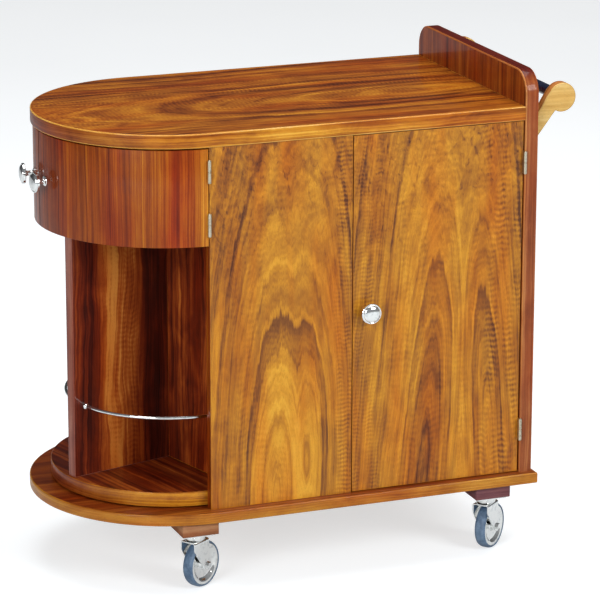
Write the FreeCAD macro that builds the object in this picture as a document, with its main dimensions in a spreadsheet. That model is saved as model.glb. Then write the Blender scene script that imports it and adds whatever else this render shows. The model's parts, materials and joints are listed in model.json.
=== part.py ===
import FreeCAD, Part
import math
import os
import re

import Sketcher
from FreeCAD import Placement, Rotation, Vector

# Hostess trolley: a walnut cabinet with a round end, on four casters.
# Millimetres, +Z up, +X from the round end to the handle, +Y to the back.
# Formulas measure x and y from the upright axis of the round end (the drum axis)
# and z from the floor. The finished trolley is then centred over the origin.

SIZES = {
    # top, end panel, base board and the panels between them
    "top_radius": 230,            # half the top's depth, and the radius of its round end
    "top_length": 556,            # drum axis to the inner face of the end panel
    "top_thickness": 24,
    "end_thickness": 24,
    "upstand": 58,                # end panel above the top
    "upstand_corner": 40,
    "body_height": 622,           # base board to the underside of the top
    "base_thickness": 19,
    "base_lip": 13,               # base board beyond the top's outline
    "base_end_lip": 6,            # base board beyond the end panel
    "panel_thickness": 18,
    "panel_recess": 4,            # fronts and doors behind the edge of the top
    "split_x": 246.5,             # middle of the split between front panel and door
    "partition_thickness": 18,
    "shelf_thickness": 15,
    "shelf_height": 296,          # base board to the underside of the shelf
    "shelf_setback": 6,
    "peg_diameter": 5,
    "peg_length": 20,
    "peg_inset": 40,
    "board_ease": 1.5,            # rounding on the edges of the thick boards
    "panel_ease": 0.8,            # rounding on the edges of panels and doors
    "door_gap": 1.5,
    "seat_gap": 0.3,
    "running_gap": 0.05,
    "overrun": 1,                 # a cutting solid beyond what it cuts
    # drum compartment
    "drum_height": 166,           # underside of the top to the bottom of the drum
    "drum_skin": 18,
    "drum_joint": 6,              # joint of drum doors and panels, left of the drum axis
    "drum_floor_thickness": 18,
    # carousel
    "turntable_setback": 24,      # turntable behind the edge of the top
    "turntable_thickness": 25,
    "turntable_lift": 3,
    "wall_thickness": 20,
    "wall_setback": 4,            # ends of the walls behind the turntable's edge
    "wall_top_gap": 3,
    "carousel_turn": 15.5,
    "rail_setback": 28,           # rails behind the turntable's edge
    "rail_height": 122,           # middle of the rail above the turntable
    "rail_diameter": 6,
    "flange_diameter": 11,
    "flange_thickness": 2.5,
    "spindle_diameter": 16,
    "spindle_in_base": 15,
    "spindle_in_disc": 20,
    "washer_diameter": 90,
    "pivot_diameter": 10,
    "pivot_in_wall": 24,
    "bush_diameter": 18,
    "bush_height": 14,
    "bush_cap": 2,                # bottom of the bush's bore to its closed top
    "pin_end_gap": 1,
    # knobs
    "knob_diameter": 35,
    "knob_reach": 27,
    "knob_rim": 4,
    "knob_neck": 9,
    "knob_foot": 17,
    "knob_foot_thickness": 3,
    "knob_foot_bevel": 1.5,
    "knob_flare": 2,              # neck to the underside of the head
    "knob_underside": 3,          # rim beyond the underside of the head
    "knob_dome": 2.5,             # dome above the rim
    "knob_lip": 1.2,              # rounded lip between rim and dome
    "knob_groove": 0.8,
    "door_knob_inset": 26,        # door knob from the middle of the split
    "door_knob_height": 318,      # above the base board
    "drum_knob_spread": 29,       # drum knobs to each side of the meeting line
    "drum_knob_height": 84,       # above the bottom of the drum
    # hinges
    "hinge_length": 38,
    "knuckle_diameter": 6,
    "hinge_pin": 3,
    "leaf_thickness": 1.2,
    "leaf_width": 18,
    "drum_hinge_low": 36,         # hinge middles above the bottom of the drum
    "drum_hinge_high": 125.5,
    "door_hinge_low": 78.5,       # lower hinge above the base board
    "door_hinge_drop": 72,        # upper hinge below the top
    # catches
    "catch_width": 12,
    "catch_depth": 22,
    "catch_height": 26,
    "catch_drop": 60,
    "catch_gap": 1,               # drum catches behind the drum doors
    # handle
    "arm_thickness": 19,
    "arm_inset": 27.5,            # arms inside the sides of the top
    "arm_reach": 52,              # end panel to the middle of the round head
    "arm_head": 25,
    "arm_head_rise": 6,           # middle of the head above the top
    "arm_root_low": 67,           # root below the surface of the top
    "arm_root_high": 20,
    "arm_heel_back": 6.3,         # corners of the neck, from the middle of the head
    "arm_heel_drop": 20,
    "arm_neck_back": 17,
    "arm_neck_rise": 4.5,
    "arm_ease": 2,
    "bar_diameter": 20,
    "bar_tenon": 10,
    "screw_diameter": 5,
    "screw_head": 10,
    "screw_head_thickness": 3,
    "screw_in_arm": 16,
    "screw_end_gap": 1,
    "screw_high": 33,             # screws below the surface of the top
    "screw_low": 54,
    # casters
    "block_size": 64,
    "block_height": 22,
    "block_inset": 9,             # block behind the edge of the base board
    "caster_left": 27,            # casters left and right of the drum axis
    "caster_right": 507,
    "caster_height": 103,
    "plate_size": 56,
    "plate_thickness": 3,
    "race_diameter": 36,
    "race_height": 12,
    "kingpin_diameter": 10,
    "kingpin_head": 16,
    "kingpin_head_thickness": 2.5,
    "plate_screw": 4,
    "plate_screw_head": 7.5,
    "plate_screw_head_thickness": 2,
    "plate_screw_spacing": 44,
    "plate_screw_length": 18,
    "fork_width": 31,
    "fork_length": 40,
    "fork_metal": 2.5,
    "fork_shoulder": 15,
    "fork_tip": 9,
    "fork_lead": 7.2,             # where the leading edge meets the tip, from its middle
    "fork_lead_drop": 5.4,
    "fork_follow": 8.1,           # where the trailing edge meets the tip, from its middle
    "fork_follow_drop": 3.6,
    "fork_ease": 1.2,
    "trail": 17,
    "wheel_diameter": 80,
    "axle_diameter": 6,
    "axle_head": 11,
    "axle_head_thickness": 3.5,
    "wheel_cover": 72,
    "wheel_channel": 62,
    "cover_width": 18,
    "channel_width": 14.5,
    "dish_floor": 8,
    "dish_radius": 26,
    "hub_diameter": 17,
    "hub_width": 24,
    "hub_bevel": 1.5,
    "hub_fillet": 4,
    "dish_rise": 1,
    "dish_slope": 6,
    "cover_bevel": 0.8,
    "tyre_width": 20,
    "tyre_tread": 11,
    "tyre_bevel": 0.8,
    "tyre_shoulder": 2,
    "tyre_fit": 0.15,
    "front_left_turn": 33.7,
    "front_right_turn": 39.4,
    "back_left_turn": 18,
    "back_right_turn": 52,
}

# heights above the floor
BASE_BOTTOM = "(caster_height + block_height)"
BASE_TOP = f"({BASE_BOTTOM} + base_thickness)"
TOP_BOTTOM = f"({BASE_TOP} + body_height)"
TOP_SURFACE = f"({TOP_BOTTOM} + top_thickness)"
DRUM_BOTTOM = f"({TOP_BOTTOM} - drum_height)"
DISC_BOTTOM = f"({BASE_TOP} + turntable_lift)"
DISC_TOP = f"({DISC_BOTTOM} + turntable_thickness)"
WALL_TOP = f"({DRUM_BOTTOM} - wall_top_gap)"
CROWN_TOP = "(caster_height - plate_thickness - race_height - seat_gap)"
# distances from the drum axis
FACE = "(top_radius - panel_recess)"
INNER = f"({FACE} - panel_thickness)"
DRUM_INNER = f"({FACE} - drum_skin)"
END_OUTER = "(top_length + end_thickness)"
PARTITION_LEFT = "(split_x - partition_thickness / 2)"
PARTITION_RIGHT = "(split_x + partition_thickness / 2)"
BLOCK_Y = "(top_radius + base_lip - block_inset - block_size / 2)"
KNUCKLE = "(knuckle_diameter / 2)"
TURNTABLE_RADIUS = "(top_radius - turntable_setback)"
WALL_REACH = f"({TURNTABLE_RADIUS} - wall_setback)"
RAIL_CIRCLE = f"({TURNTABLE_RADIUS} - rail_setback)"
ARM_SPREAD = "(top_radius - arm_inset)"

CORNERS = {
    "front_left": ("-caster_left", f"-{BLOCK_Y}", "front_left_turn"),
    "front_right": ("caster_right", f"-{BLOCK_Y}", "front_right_turn"),
    "back_left": ("-caster_left", BLOCK_Y, "back_left_turn"),
    "back_right": ("caster_right", BLOCK_Y, "back_right_turn"),
}
UPRIGHT = "vector(0; 0; 1)"
LEVEL_X = "vector(1; 0; 0)"
LEVEL_Y = "vector(0; 1; 0)"
TOUCH = 1e-4

DOC = FreeCAD.newDocument("hostess_trolley")
SHEET = DOC.addObject("Spreadsheet::Sheet", "Sizes")
ALIAS = re.compile(r"\b(" + "|".join(sorted(SIZES, key=len, reverse=True)) + r")\b")
PIECES = []


# --- sheet, formulas and places -------------------------------------------------------

def fill_sheet():
    """One row for each size: its name, its value and the alias that formulas use."""
    rows = list(SIZES.items()) + [("middle_x", 0), ("middle_y", 0)]
    for row, (alias, value) in enumerate(rows, start=1):
        SHEET.set(f"A{row}", alias)
        SHEET.set(f"B{row}", str(value))
        SHEET.setAlias(f"B{row}", alias)
    DOC.recompute()


def cells(formula):
    """The formula with each size's name turned into a reference to its cell."""
    return ALIAS.sub(r"Sizes.\1", formula)


def number(formula):
    """The formula's value."""
    return float(SHEET.evalExpression(cells(formula)))


def bind(feature, **formulas):
    """Bind properties of a feature to the sheet."""
    for name, formula in formulas.items():
        feature.setExpression(name, cells(formula))


def at(feature, x, y, z):
    """Place a feature at a point measured from the drum axis and the floor."""
    feature.setExpression("Placement.Base.x", cells(f"({x}) - ") + "Sizes.middle_x")
    feature.setExpression("Placement.Base.y", cells(f"({y}) - ") + "Sizes.middle_y")
    feature.setExpression("Placement.Base.z", cells(z))
    return feature


def stand(feature, x="0", y="0", z="0", turn="0", then=()):
    """Turn a feature about an upright line through (x, y), after the steps in then.

    Each step is (x, y, z, axis, angle) in the frame that the step before it made.
    """
    steps = [f"placement(vector({x} - middle_x; {y} - middle_y; {z}); rotation({UPRIGHT}; {turn}))"]
    for px, py, pz, axis, angle in then:
        steps.append(f"placement(vector({px}; {py}; {pz}); rotation({axis}; {angle}))")
    text = cells(" * ".join(steps)).replace("middle_", "Sizes.middle_")
    feature.setExpression("Placement", text)
    return feature


def piece(feature, label):
    """Keep a finished piece under the name of its file."""
    feature.Label = label
    PIECES.append(feature)
    return feature


# --- building blocks ------------------------------------------------------------------

def local_box(name, x, y, z):
    """Box between pairs of formulas, in its own frame."""
    solid = DOC.addObject("Part::Box", name)
    for side, start, (low, high) in (("Length", "x", x), ("Width", "y", y), ("Height", "z", z)):
        solid.setExpression(side, cells(f"({high}) - ({low})"))
        solid.setExpression(f"Placement.Base.{start}", cells(low))
    return solid


def box(name, x, y, z):
    """Box between pairs of formulas, measured from the drum axis and the floor."""
    return at(local_box(name, x, y, z), x[0], y[0], z[0])


def local_rod(name, radius, start, length, along="z"):
    """Round bar from a start point along +X, +Y or +Z, in its own frame."""
    turns = {"x": Rotation(Vector(0, 1, 0), 90), "y": Rotation(Vector(1, 0, 0), -90), "z": Rotation()}
    solid = DOC.addObject("Part::Cylinder", name)
    bind(solid, Radius=radius, Height=length)
    solid.Placement = Placement(Vector(), turns[along])
    for axis, formula in zip("xyz", start):
        solid.setExpression(f"Placement.Base.{axis}", cells(formula))
    return solid


def rod(name, radius, start, length, along="z"):
    """Round bar measured from the drum axis and the floor."""
    return at(local_rod(name, radius, start, length, along), *start)


def join(name, *solids):
    """One solid from several."""
    feature = DOC.addObject("Part::MultiFuse", name)
    feature.Shapes = list(solids)
    feature.Refine = True
    return feature


def cut(name, base, *tools):
    """The base without its tools."""
    feature = DOC.addObject("Part::Cut", name)
    feature.Base = base
    feature.Tool = tools[0] if len(tools) == 1 else join(name + "_tools", *tools)
    return feature


def group(name, *solids):
    """Separate solids that share one name."""
    feature = DOC.addObject("Part::Compound", name)
    feature.Links = list(solids)
    return feature


def eased(name, base, radius, chosen):
    """The base with a small rounding on the chosen edges."""
    DOC.recompute()
    size = number(radius)
    feature = DOC.addObject("Part::Fillet", name)
    feature.Base = base
    feature.Edges = [(i, size, size) for i, edge in enumerate(base.Shape.Edges, start=1) if chosen(edge)]
    return feature


def edge_spans(edge):
    """Length of an edge's box along X, Y and Z."""
    box_of_edge = edge.BoundBox
    return box_of_edge.XLength, box_of_edge.YLength, box_of_edge.ZLength


def upright(edge):
    """True for a straight vertical edge."""
    across_x, across_y, _ = edge_spans(edge)
    return across_x < TOUCH and across_y < TOUCH


def lies_at(edge, axis, value):
    """True for an edge that lies wholly in the plane axis = value."""
    low, high = {"x": (edge.BoundBox.XMin, edge.BoundBox.XMax),
                 "y": (edge.BoundBox.YMin, edge.BoundBox.YMax),
                 "z": (edge.BoundBox.ZMin, edge.BoundBox.ZMax)}[axis]
    return abs(low - value) < TOUCH and abs(high - value) < TOUCH


def new_sketch(body, name, role):
    """Empty sketch on one of the body's own origin planes."""
    sketch = body.newObject("Sketcher::SketchObject", name)
    plane = next(part for part in body.Origin.OriginFeatures if part.Role == role)
    sketch.AttachmentSupport = (plane, [""])
    sketch.MapMode = "FlatFace"
    return sketch


def bound(sketch, label, constraint, formula):
    """Add a driving dimension and bind it to the sheet."""
    index = sketch.addConstraint(constraint)
    sketch.renameConstraint(index, label)
    sketch.setExpression(f"Constraints.{label}", cells(formula))


def polygon_sketch(body, name, role, corners):
    """Closed outline of straight lines whose every corner is bound to the sheet."""
    sketch = new_sketch(body, name, role)
    points = [Vector(number(x), number(y), 0) for x, y in corners]
    count = len(points)
    for i in range(count):
        sketch.addGeometry(Part.LineSegment(points[i], points[(i + 1) % count]), False)
    for i in range(count):
        sketch.addConstraint(Sketcher.Constraint("Coincident", i, 2, (i + 1) % count, 1))
    for i, (x, y) in enumerate(corners):
        bound(sketch, f"corner{i}_x", Sketcher.Constraint("DistanceX", -1, 1, i, 1, points[i].x), x)
        bound(sketch, f"corner{i}_y", Sketcher.Constraint("DistanceY", -1, 1, i, 1, points[i].y), y)
    return sketch


def padded(body, sketch, length, midplane=False):
    """Pad a body's sketch."""
    pad = body.newObject("PartDesign::Pad", sketch.Name + "_pad")
    pad.Profile = sketch
    pad.Midplane = midplane
    bind(pad, Length=length)
    return pad


def body_ease(body, name, radius, chosen):
    """Round the chosen edges of a body's tip."""
    DOC.recompute()
    tip = body.Tip
    edges = [f"Edge{i}" for i, edge in enumerate(tip.Shape.Edges, start=1) if chosen(edge)]
    fillet = body.newObject("PartDesign::Fillet", name)
    fillet.Base = (tip, edges)
    bind(fillet, Radius=radius)
    return fillet


def round_end_board(name, radius, length, thickness):
    """Board with a half-round end about the drum axis, as a body that starts at z = 0."""
    body = DOC.addObject("PartDesign::Body", name)
    sketch = new_sketch(body, name + "_outline", "XY_Plane")
    r, right = number(radius), number(length)
    half_circle = Part.Circle(Vector(0, 0, 0), Vector(0, 0, 1), r)
    sketch.addGeometry(Part.ArcOfCircle(half_circle, math.pi / 2, 3 * math.pi / 2), False)
    sketch.addGeometry(Part.LineSegment(Vector(0, -r, 0), Vector(right, -r, 0)), False)
    sketch.addGeometry(Part.LineSegment(Vector(right, -r, 0), Vector(right, r, 0)), False)
    sketch.addGeometry(Part.LineSegment(Vector(right, r, 0), Vector(0, r, 0)), False)
    sketch.addConstraint(Sketcher.Constraint("Coincident", 0, 3, -1, 1))
    sketch.addConstraint(Sketcher.Constraint("Tangent", 0, 2, 1, 1))
    sketch.addConstraint(Sketcher.Constraint("Coincident", 1, 2, 2, 1))
    sketch.addConstraint(Sketcher.Constraint("Coincident", 2, 2, 3, 1))
    sketch.addConstraint(Sketcher.Constraint("Tangent", 3, 2, 0, 1))
    sketch.addConstraint(Sketcher.Constraint("Horizontal", 1))
    sketch.addConstraint(Sketcher.Constraint("Vertical", 2))
    bound(sketch, "radius", Sketcher.Constraint("Radius", 0, r), radius)
    bound(sketch, "right", Sketcher.Constraint("DistanceX", -1, 1, 1, 2, right), length)
    padded(body, sketch, thickness)
    return body


def spun(name, profile):
    """Turned solid about its own Z axis, from (radius, height) corners."""
    body = DOC.addObject("PartDesign::Body", name)
    sketch = polygon_sketch(body, name + "_profile", "XZ_Plane", profile)
    turned = body.newObject("PartDesign::Revolution", name + "_turned")
    turned.Profile = sketch
    turned.ReferenceAxis = (sketch, ["V_Axis"])
    turned.Angle = 360
    return body


# --- boards of the carcass ------------------------------------------------------------

def build_base_board():
    """Base board: a round-ended slab wider than the cabinet, bored for the spindle."""
    reach = f"({END_OUTER} + base_end_lip)"
    slab = round_end_board("base_slab", "(top_radius + base_lip)", reach, "base_thickness")
    body_ease(slab, "base_edges", "board_ease", lambda edge: not upright(edge))
    at(slab, "0", "0", BASE_BOTTOM)
    socket = rod("base_socket", "spindle_diameter / 2 + running_gap",
                 ("0", "0", f"{BASE_TOP} - spindle_in_base"), "spindle_in_base")
    piece(cut("base_board_bored", slab, socket), "base_board")


def build_top_board():
    """Top board: butts against the end panel at its right."""
    slab = round_end_board("top_slab", "top_radius", "top_length", "top_thickness")
    right = number("top_length")
    body_ease(slab, "top_edges", "board_ease",
              lambda edge: not upright(edge) and not lies_at(edge, "x", right))
    at(slab, "0", "0", TOP_BOTTOM)
    piece(slab, "top_board")


def peg_holes(name, x, length):
    """The two bores in one wall for the shelf pegs."""
    holes = []
    for side, sign in (("front", "-"), ("back", "")):
        start = (x, f"{sign}({INNER} - peg_inset)", f"{BASE_TOP} + shelf_height - peg_diameter / 2")
        holes.append(rod(f"{name}_{side}", "peg_diameter / 2 + running_gap", start, length, "x"))
    return holes


def handle_screw_points():
    """Middle of each handle screw in the plane of the end panel."""
    for side, sign in (("front", "-"), ("back", "")):
        for level, drop in (("high", "screw_high"), ("low", "screw_low")):
            yield f"{side}_{level}", f"{sign}{ARM_SPREAD}", f"{TOP_SURFACE} - {drop}"


def build_end_panel():
    """End panel: runs from the base board to the upstand with its two round corners."""
    half, rise = "top_radius", f"({TOP_SURFACE} + upstand - {BASE_TOP})"
    body = DOC.addObject("PartDesign::Body", "end_slab")
    corners = [(f"-{half}", "0"), (half, "0"), (half, rise), (f"-{half}", rise)]
    padded(body, polygon_sketch(body, "end_outline", "YZ_Plane", corners), "end_thickness")
    top = number(rise)
    body_ease(body, "end_corners", "upstand_corner",
              lambda edge: edge_spans(edge)[1] < TOUCH and lies_at(edge, "z", top))
    body_ease(body, "end_edges", "board_ease",
              lambda edge: edge_spans(edge)[0] < TOUCH and not lies_at(edge, "z", 0))
    at(body, "top_length", "0", BASE_TOP)
    tools = peg_holes("end_peg_hole", "top_length", "peg_length / 2")
    for name, y, z in handle_screw_points():
        tools.append(rod(f"end_bore_{name}", "screw_diameter / 2 + running_gap",
                         ("top_length", y, z), "end_thickness", "x"))
        tools.append(rod(f"end_sink_{name}", "screw_head / 2 + running_gap",
                         ("top_length", y, z), "screw_head_thickness", "x"))
    tools += leaf_pockets("cupboard", "fixed")
    piece(cut("end_panel_bored", body, *tools), "end_panel")


def build_fixed_panels():
    """Front panel, back panel and partition."""
    front = box("front_blank", ("-drum_joint", "split_x - door_gap / 2"),
                (f"-{FACE}", f"-{INNER}"), (BASE_TOP, TOP_BOTTOM))
    face = number(f"-{FACE}")
    front = eased("front_eased", front, "panel_ease", lambda edge: upright(edge) and lies_at(edge, "y", face))
    piece(cut("front_panel_pocketed", front, *leaf_pockets("front_drum", "fixed")), "front_panel")

    back = box("back_blank", ("-drum_joint", "top_length"), (INNER, FACE), (BASE_TOP, TOP_BOTTOM))
    left = number("-drum_joint")
    back = eased("back_eased", back, "panel_ease", lambda edge: upright(edge) and lies_at(edge, "x", left))
    piece(cut("back_panel_pocketed", back, *leaf_pockets("back_drum", "fixed")), "back_panel")

    wall = box("partition_blank", (PARTITION_LEFT, PARTITION_RIGHT),
               (f"-{INNER} + seat_gap", f"{INNER} - seat_gap"), (BASE_TOP, TOP_BOTTOM))
    holes = peg_holes("partition_peg_hole", f"{PARTITION_RIGHT} - peg_length / 2", "peg_length / 2")
    piece(cut("partition_bored", wall, *holes), "partition")


def build_shelf():
    """Cupboard shelf and the four pegs that carry it."""
    low = f"({BASE_TOP} + shelf_height)"
    board = box("shelf_blank", (f"{PARTITION_RIGHT} + seat_gap", "top_length - seat_gap"),
                (f"-{INNER} + shelf_setback", f"{INNER} - seat_gap"), (low, f"{low} + shelf_thickness"))
    piece(board, "cupboard_shelf")
    pegs = []
    for wall, x in (("left", PARTITION_RIGHT), ("right", "top_length")):
        for side, sign in (("front", "-"), ("back", "")):
            start = (f"{x} - peg_length / 2", f"{sign}({INNER} - peg_inset)", f"{low} - peg_diameter / 2")
            pegs.append(rod(f"peg_{wall}_{side}", "peg_diameter / 2", start, "peg_length", "x"))
    piece(group("pegs", *pegs), "shelf_pegs")


# --- drum and doors -------------------------------------------------------------------

def build_drum_floor():
    """Round-ended floor of the drum, bored from below for the pivot bush."""
    slab = round_end_board("drum_slab", f"({DRUM_INNER} - seat_gap)", PARTITION_LEFT, "drum_floor_thickness")
    at(slab, "0", "0", DRUM_BOTTOM)
    hole = rod("drum_floor_hole", "bush_diameter / 2 + running_gap", ("0", "0", DRUM_BOTTOM), "bush_height")
    piece(cut("drum_floor_bored", slab, hole), "drum_floor")


def build_drum_door(side, sign):
    """Curved door: a quarter of the drum's skin, from its hinge to the meeting line."""
    name = f"{side}_drum_door"
    start_angle = "180" if sign == "-" else "90"
    low, high = DRUM_BOTTOM, f"({TOP_BOTTOM} - door_gap)"
    shells = []
    for role, radius in (("outer", FACE), ("inner", DRUM_INNER)):
        shell = DOC.addObject("Part::Cylinder", f"{name}_{role}")
        bind(shell, Radius=radius, Height=f"{high} - {low}")
        shell.Angle = 90 if role == "outer" else 360
        shells.append(stand(shell, z=low, turn=start_angle))
    past = (f"{low} - overrun", f"{high} + overrun")
    near_hinge = box(f"{name}_hinge_trim", ("-drum_joint - door_gap", "panel_thickness"),
                     (f"-{FACE} - overrun", f"{FACE} + overrun"), past)
    meeting = box(f"{name}_meeting_trim", (f"-{FACE} - overrun", "0"),
                  ("-door_gap / 2", "door_gap / 2"), past)
    skin = cut(f"{name}_skin", shells[0], shells[1], near_hinge, meeting)
    outer = number(FACE)
    skin = eased(f"{name}_eased", skin, "panel_ease", lambda edge: on_drum_face(edge, outer))
    piece(cut(f"{name}_pocketed", skin, *leaf_pockets(f"{side}_drum", "moving")), name)


def on_drum_face(edge, radius):
    """True for an edge that lies on the outer face of the drum."""
    return all(abs(Vector(v.X, v.Y, 0).Length - radius) < TOUCH for v in edge.Vertexes)


def build_cupboard_door():
    """Flat door between the front panel and the end panel."""
    blank = box("door_blank", ("split_x + door_gap / 2", "top_length - door_gap"),
                (f"-{FACE}", f"-{INNER}"), (f"{BASE_TOP} + door_gap", f"{TOP_BOTTOM} - door_gap"))
    face = number(f"-{FACE}")
    blank = eased("door_eased", blank, "panel_ease", lambda edge: lies_at(edge, "y", face))
    piece(cut("cupboard_door_pocketed", blank, *leaf_pockets("cupboard", "moving")), "cupboard_door")


# --- hinges ---------------------------------------------------------------------------
# A hinge is two leaves let into facing edges and a pin. The lower half of the knuckle
# belongs to the fixed leaf and the upper half to the leaf on the door.

HINGES = {
    # name: (axis x, axis y, back of the leaf on y, hinge middles)
    "cupboard": ("top_length - door_gap / 2", f"-(top_radius + {KNUCKLE} + seat_gap)",
                 "-(top_radius - leaf_width)",
                 (f"{BASE_TOP} + door_hinge_low", f"{TOP_BOTTOM} - door_hinge_drop")),
    "front_drum": ("-drum_joint - door_gap / 2", f"-({FACE} + {KNUCKLE} + seat_gap)",
                   f"-({FACE} - leaf_width + panel_recess)",
                   (f"{DRUM_BOTTOM} + drum_hinge_low", f"{DRUM_BOTTOM} + drum_hinge_high")),
    "back_drum": ("-drum_joint - door_gap / 2", f"({FACE} + {KNUCKLE} + seat_gap)",
                  f"({FACE} - leaf_width + panel_recess)",
                  (f"{DRUM_BOTTOM} + drum_hinge_low", f"{DRUM_BOTTOM} + drum_hinge_high")),
}


def leaf_span(hinge, leaf):
    """Range of x that a leaf takes: it is let into the edge that faces the joint."""
    axis_x = HINGES[hinge][0]
    if leaf == "fixed":
        return f"{axis_x} + door_gap / 2", f"{axis_x} + door_gap / 2 + leaf_thickness"
    return f"{axis_x} - door_gap / 2 - leaf_thickness", f"{axis_x} - door_gap / 2"


def ordered(low, high):
    """The two formulas, lower value first."""
    return (low, high) if number(low) < number(high) else (high, low)


def leaf_pockets(hinge, leaf):
    """Pockets for the leaves of one side, open to the face where the knuckle stands."""
    _, axis_y, back_y, middles = HINGES[hinge]
    pockets = []
    for i, middle in enumerate(middles):
        pockets.append(box(f"{hinge}_{leaf}_pocket_{i}", leaf_span(hinge, leaf), ordered(axis_y, back_y),
                           (f"{middle} - hinge_length / 2", f"{middle} + hinge_length / 2")))
    return pockets


def hinge_leaf(hinge, leaf, i, middle):
    """One leaf: a plate, its half of the knuckle and the web that joins them."""
    axis_x, axis_y, back_y, _ = HINGES[hinge]
    name = f"{hinge}_{leaf}_leaf_{i}"
    outward = "-" if number(axis_y) < 0 else "+"
    inward = "+" if outward == "-" else "-"
    plate_start = f"{axis_y} {inward} ({KNUCKLE} + seat_gap)"
    bottom, top = f"{middle} - hinge_length / 2", f"{middle} + hinge_length / 2"
    half = (bottom, f"{middle} - seat_gap / 2") if leaf == "fixed" else (f"{middle} + seat_gap / 2", top)
    x = leaf_span(hinge, leaf)
    plate = box(f"{name}_plate", x, ordered(plate_start, back_y), (bottom, top))
    web = box(f"{name}_web", x, ordered(axis_y, plate_start), half)
    knuckle = rod(f"{name}_knuckle", KNUCKLE, (axis_x, axis_y, half[0]), f"{half[1]} - ({half[0]})")
    bore = rod(f"{name}_bore", "hinge_pin / 2 + running_gap", (axis_x, axis_y, bottom), "hinge_length")
    return cut(name, join(f"{name}_blank", plate, web, knuckle), bore)


def build_hinges():
    """Leaves on the cabinet, leaves on the doors, and the pins."""
    pins = []
    for hinge, (axis_x, axis_y, _, middles) in HINGES.items():
        for leaf, label in (("fixed", "frame_leaves"), ("moving", "door_leaves")):
            leaves = [hinge_leaf(hinge, leaf, i, middle) for i, middle in enumerate(middles)]
            piece(group(f"{hinge}_{leaf}_leaves", *leaves), f"{hinge}_hinge_{label}")
        for i, middle in enumerate(middles):
            start = (axis_x, axis_y, f"{middle} - hinge_length / 2")
            pins.append(rod(f"{hinge}_pin_{i}", "hinge_pin / 2", start, "hinge_length"))
    piece(group("pins", *pins), "hinge_pins")


# --- knobs and catches ----------------------------------------------------------------

def knob(name):
    """Turned mushroom knob that stands on its foot at z = 0."""
    rim_high = "(knob_reach - knob_dome)"
    rim_low = f"({rim_high} - knob_rim)"
    lip = f"({rim_high} + knob_lip)"
    profile = [
        ("0", "0"), ("knob_foot / 2", "0"), ("knob_foot / 2", "knob_foot_thickness - knob_foot_bevel"),
        ("knob_foot / 2 - knob_foot_bevel", "knob_foot_thickness"),
        ("knob_neck / 2", "knob_foot_thickness + knob_foot_bevel"), ("knob_neck / 2", "knob_reach / 2"),
        ("knob_neck / 2 + knob_flare", "knob_reach / 2 + knob_flare"),
        ("knob_diameter / 2 - knob_underside", rim_low), ("knob_diameter / 2", f"{rim_low} + knob_flare"),
        ("knob_diameter / 2", rim_high), ("knob_diameter / 2 - knob_lip", lip),
        ("knob_diameter / 2 - 2 * knob_lip", lip),
        ("knob_diameter / 2 - 3 * knob_lip", f"{lip} - knob_groove"),
        ("knob_diameter / 3", "knob_reach - knob_groove"),
        ("knob_diameter / 6", "knob_reach - knob_groove / 5"),
        ("0", "knob_reach"),
    ]
    return spun(name, profile)


def build_knobs():
    """One knob on the cupboard door and one on each drum door."""
    door = knob("door_knob_body")
    stand(door, "split_x + door_knob_inset", f"-{FACE}", f"{BASE_TOP} + door_knob_height",
          then=[("0", "0", "0", LEVEL_X, "90")])
    piece(door, "cupboard_knob")
    swing = f"asin(drum_knob_spread / {FACE})"
    for side, sign in (("front", ""), ("back", "-")):
        body = knob(f"{side}_knob_body")
        stand(body, "0", "0", f"{DRUM_BOTTOM} + drum_knob_height", f"{sign}{swing}",
              then=[(f"-{FACE}", "0", "0", LEVEL_Y, "-90")])
        piece(body, f"{side}_drum_knob")


def build_catches():
    """Catch on the partition for the cupboard door, and two on the drum floor."""
    top = f"({TOP_BOTTOM} - catch_drop)"
    cupboard = box("cupboard_catch_body", (PARTITION_RIGHT, f"{PARTITION_RIGHT} + catch_width"),
                   (f"-{INNER} + seat_gap", f"-{INNER} + seat_gap + catch_depth"),
                   (f"{top} - catch_height", top))
    piece(cupboard, "cupboard_catch")
    low = f"({DRUM_BOTTOM} + drum_floor_thickness)"
    skin = f"(-{DRUM_INNER} + catch_gap)"
    catches = []
    for side, (near, far) in (("front", ("-door_gap - catch_width", "-door_gap")),
                              ("back", ("door_gap", "door_gap + catch_width"))):
        catches.append(box(f"{side}_drum_catch", (skin, f"{skin} + catch_depth"),
                           (near, far), (low, f"{low} + catch_height")))
    piece(group("drum_catch_pair", *catches), "drum_catches")


# --- carousel -------------------------------------------------------------------------
# Its pieces are made about the drum axis and turned together.

def on_carousel(feature, label, z="0", extra_turn="0"):
    """Seat a carousel piece on the drum axis."""
    stand(feature, z=z, turn=f"carousel_turn + {extra_turn}")
    piece(feature, label)


def build_turntable():
    """Disc with a blind bore for the spindle."""
    disc = local_rod("disc_blank", TURNTABLE_RADIUS, ("0", "0", "0"), "turntable_thickness")
    disc = eased("disc_eased", disc, "board_ease", lambda edge: not upright(edge))
    bore = local_rod("disc_bore", "spindle_diameter / 2 + running_gap", ("0", "0", "0"),
                     "spindle_in_disc + running_gap")
    on_carousel(cut("disc_bored", disc, bore), "turntable", DISC_BOTTOM)


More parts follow.
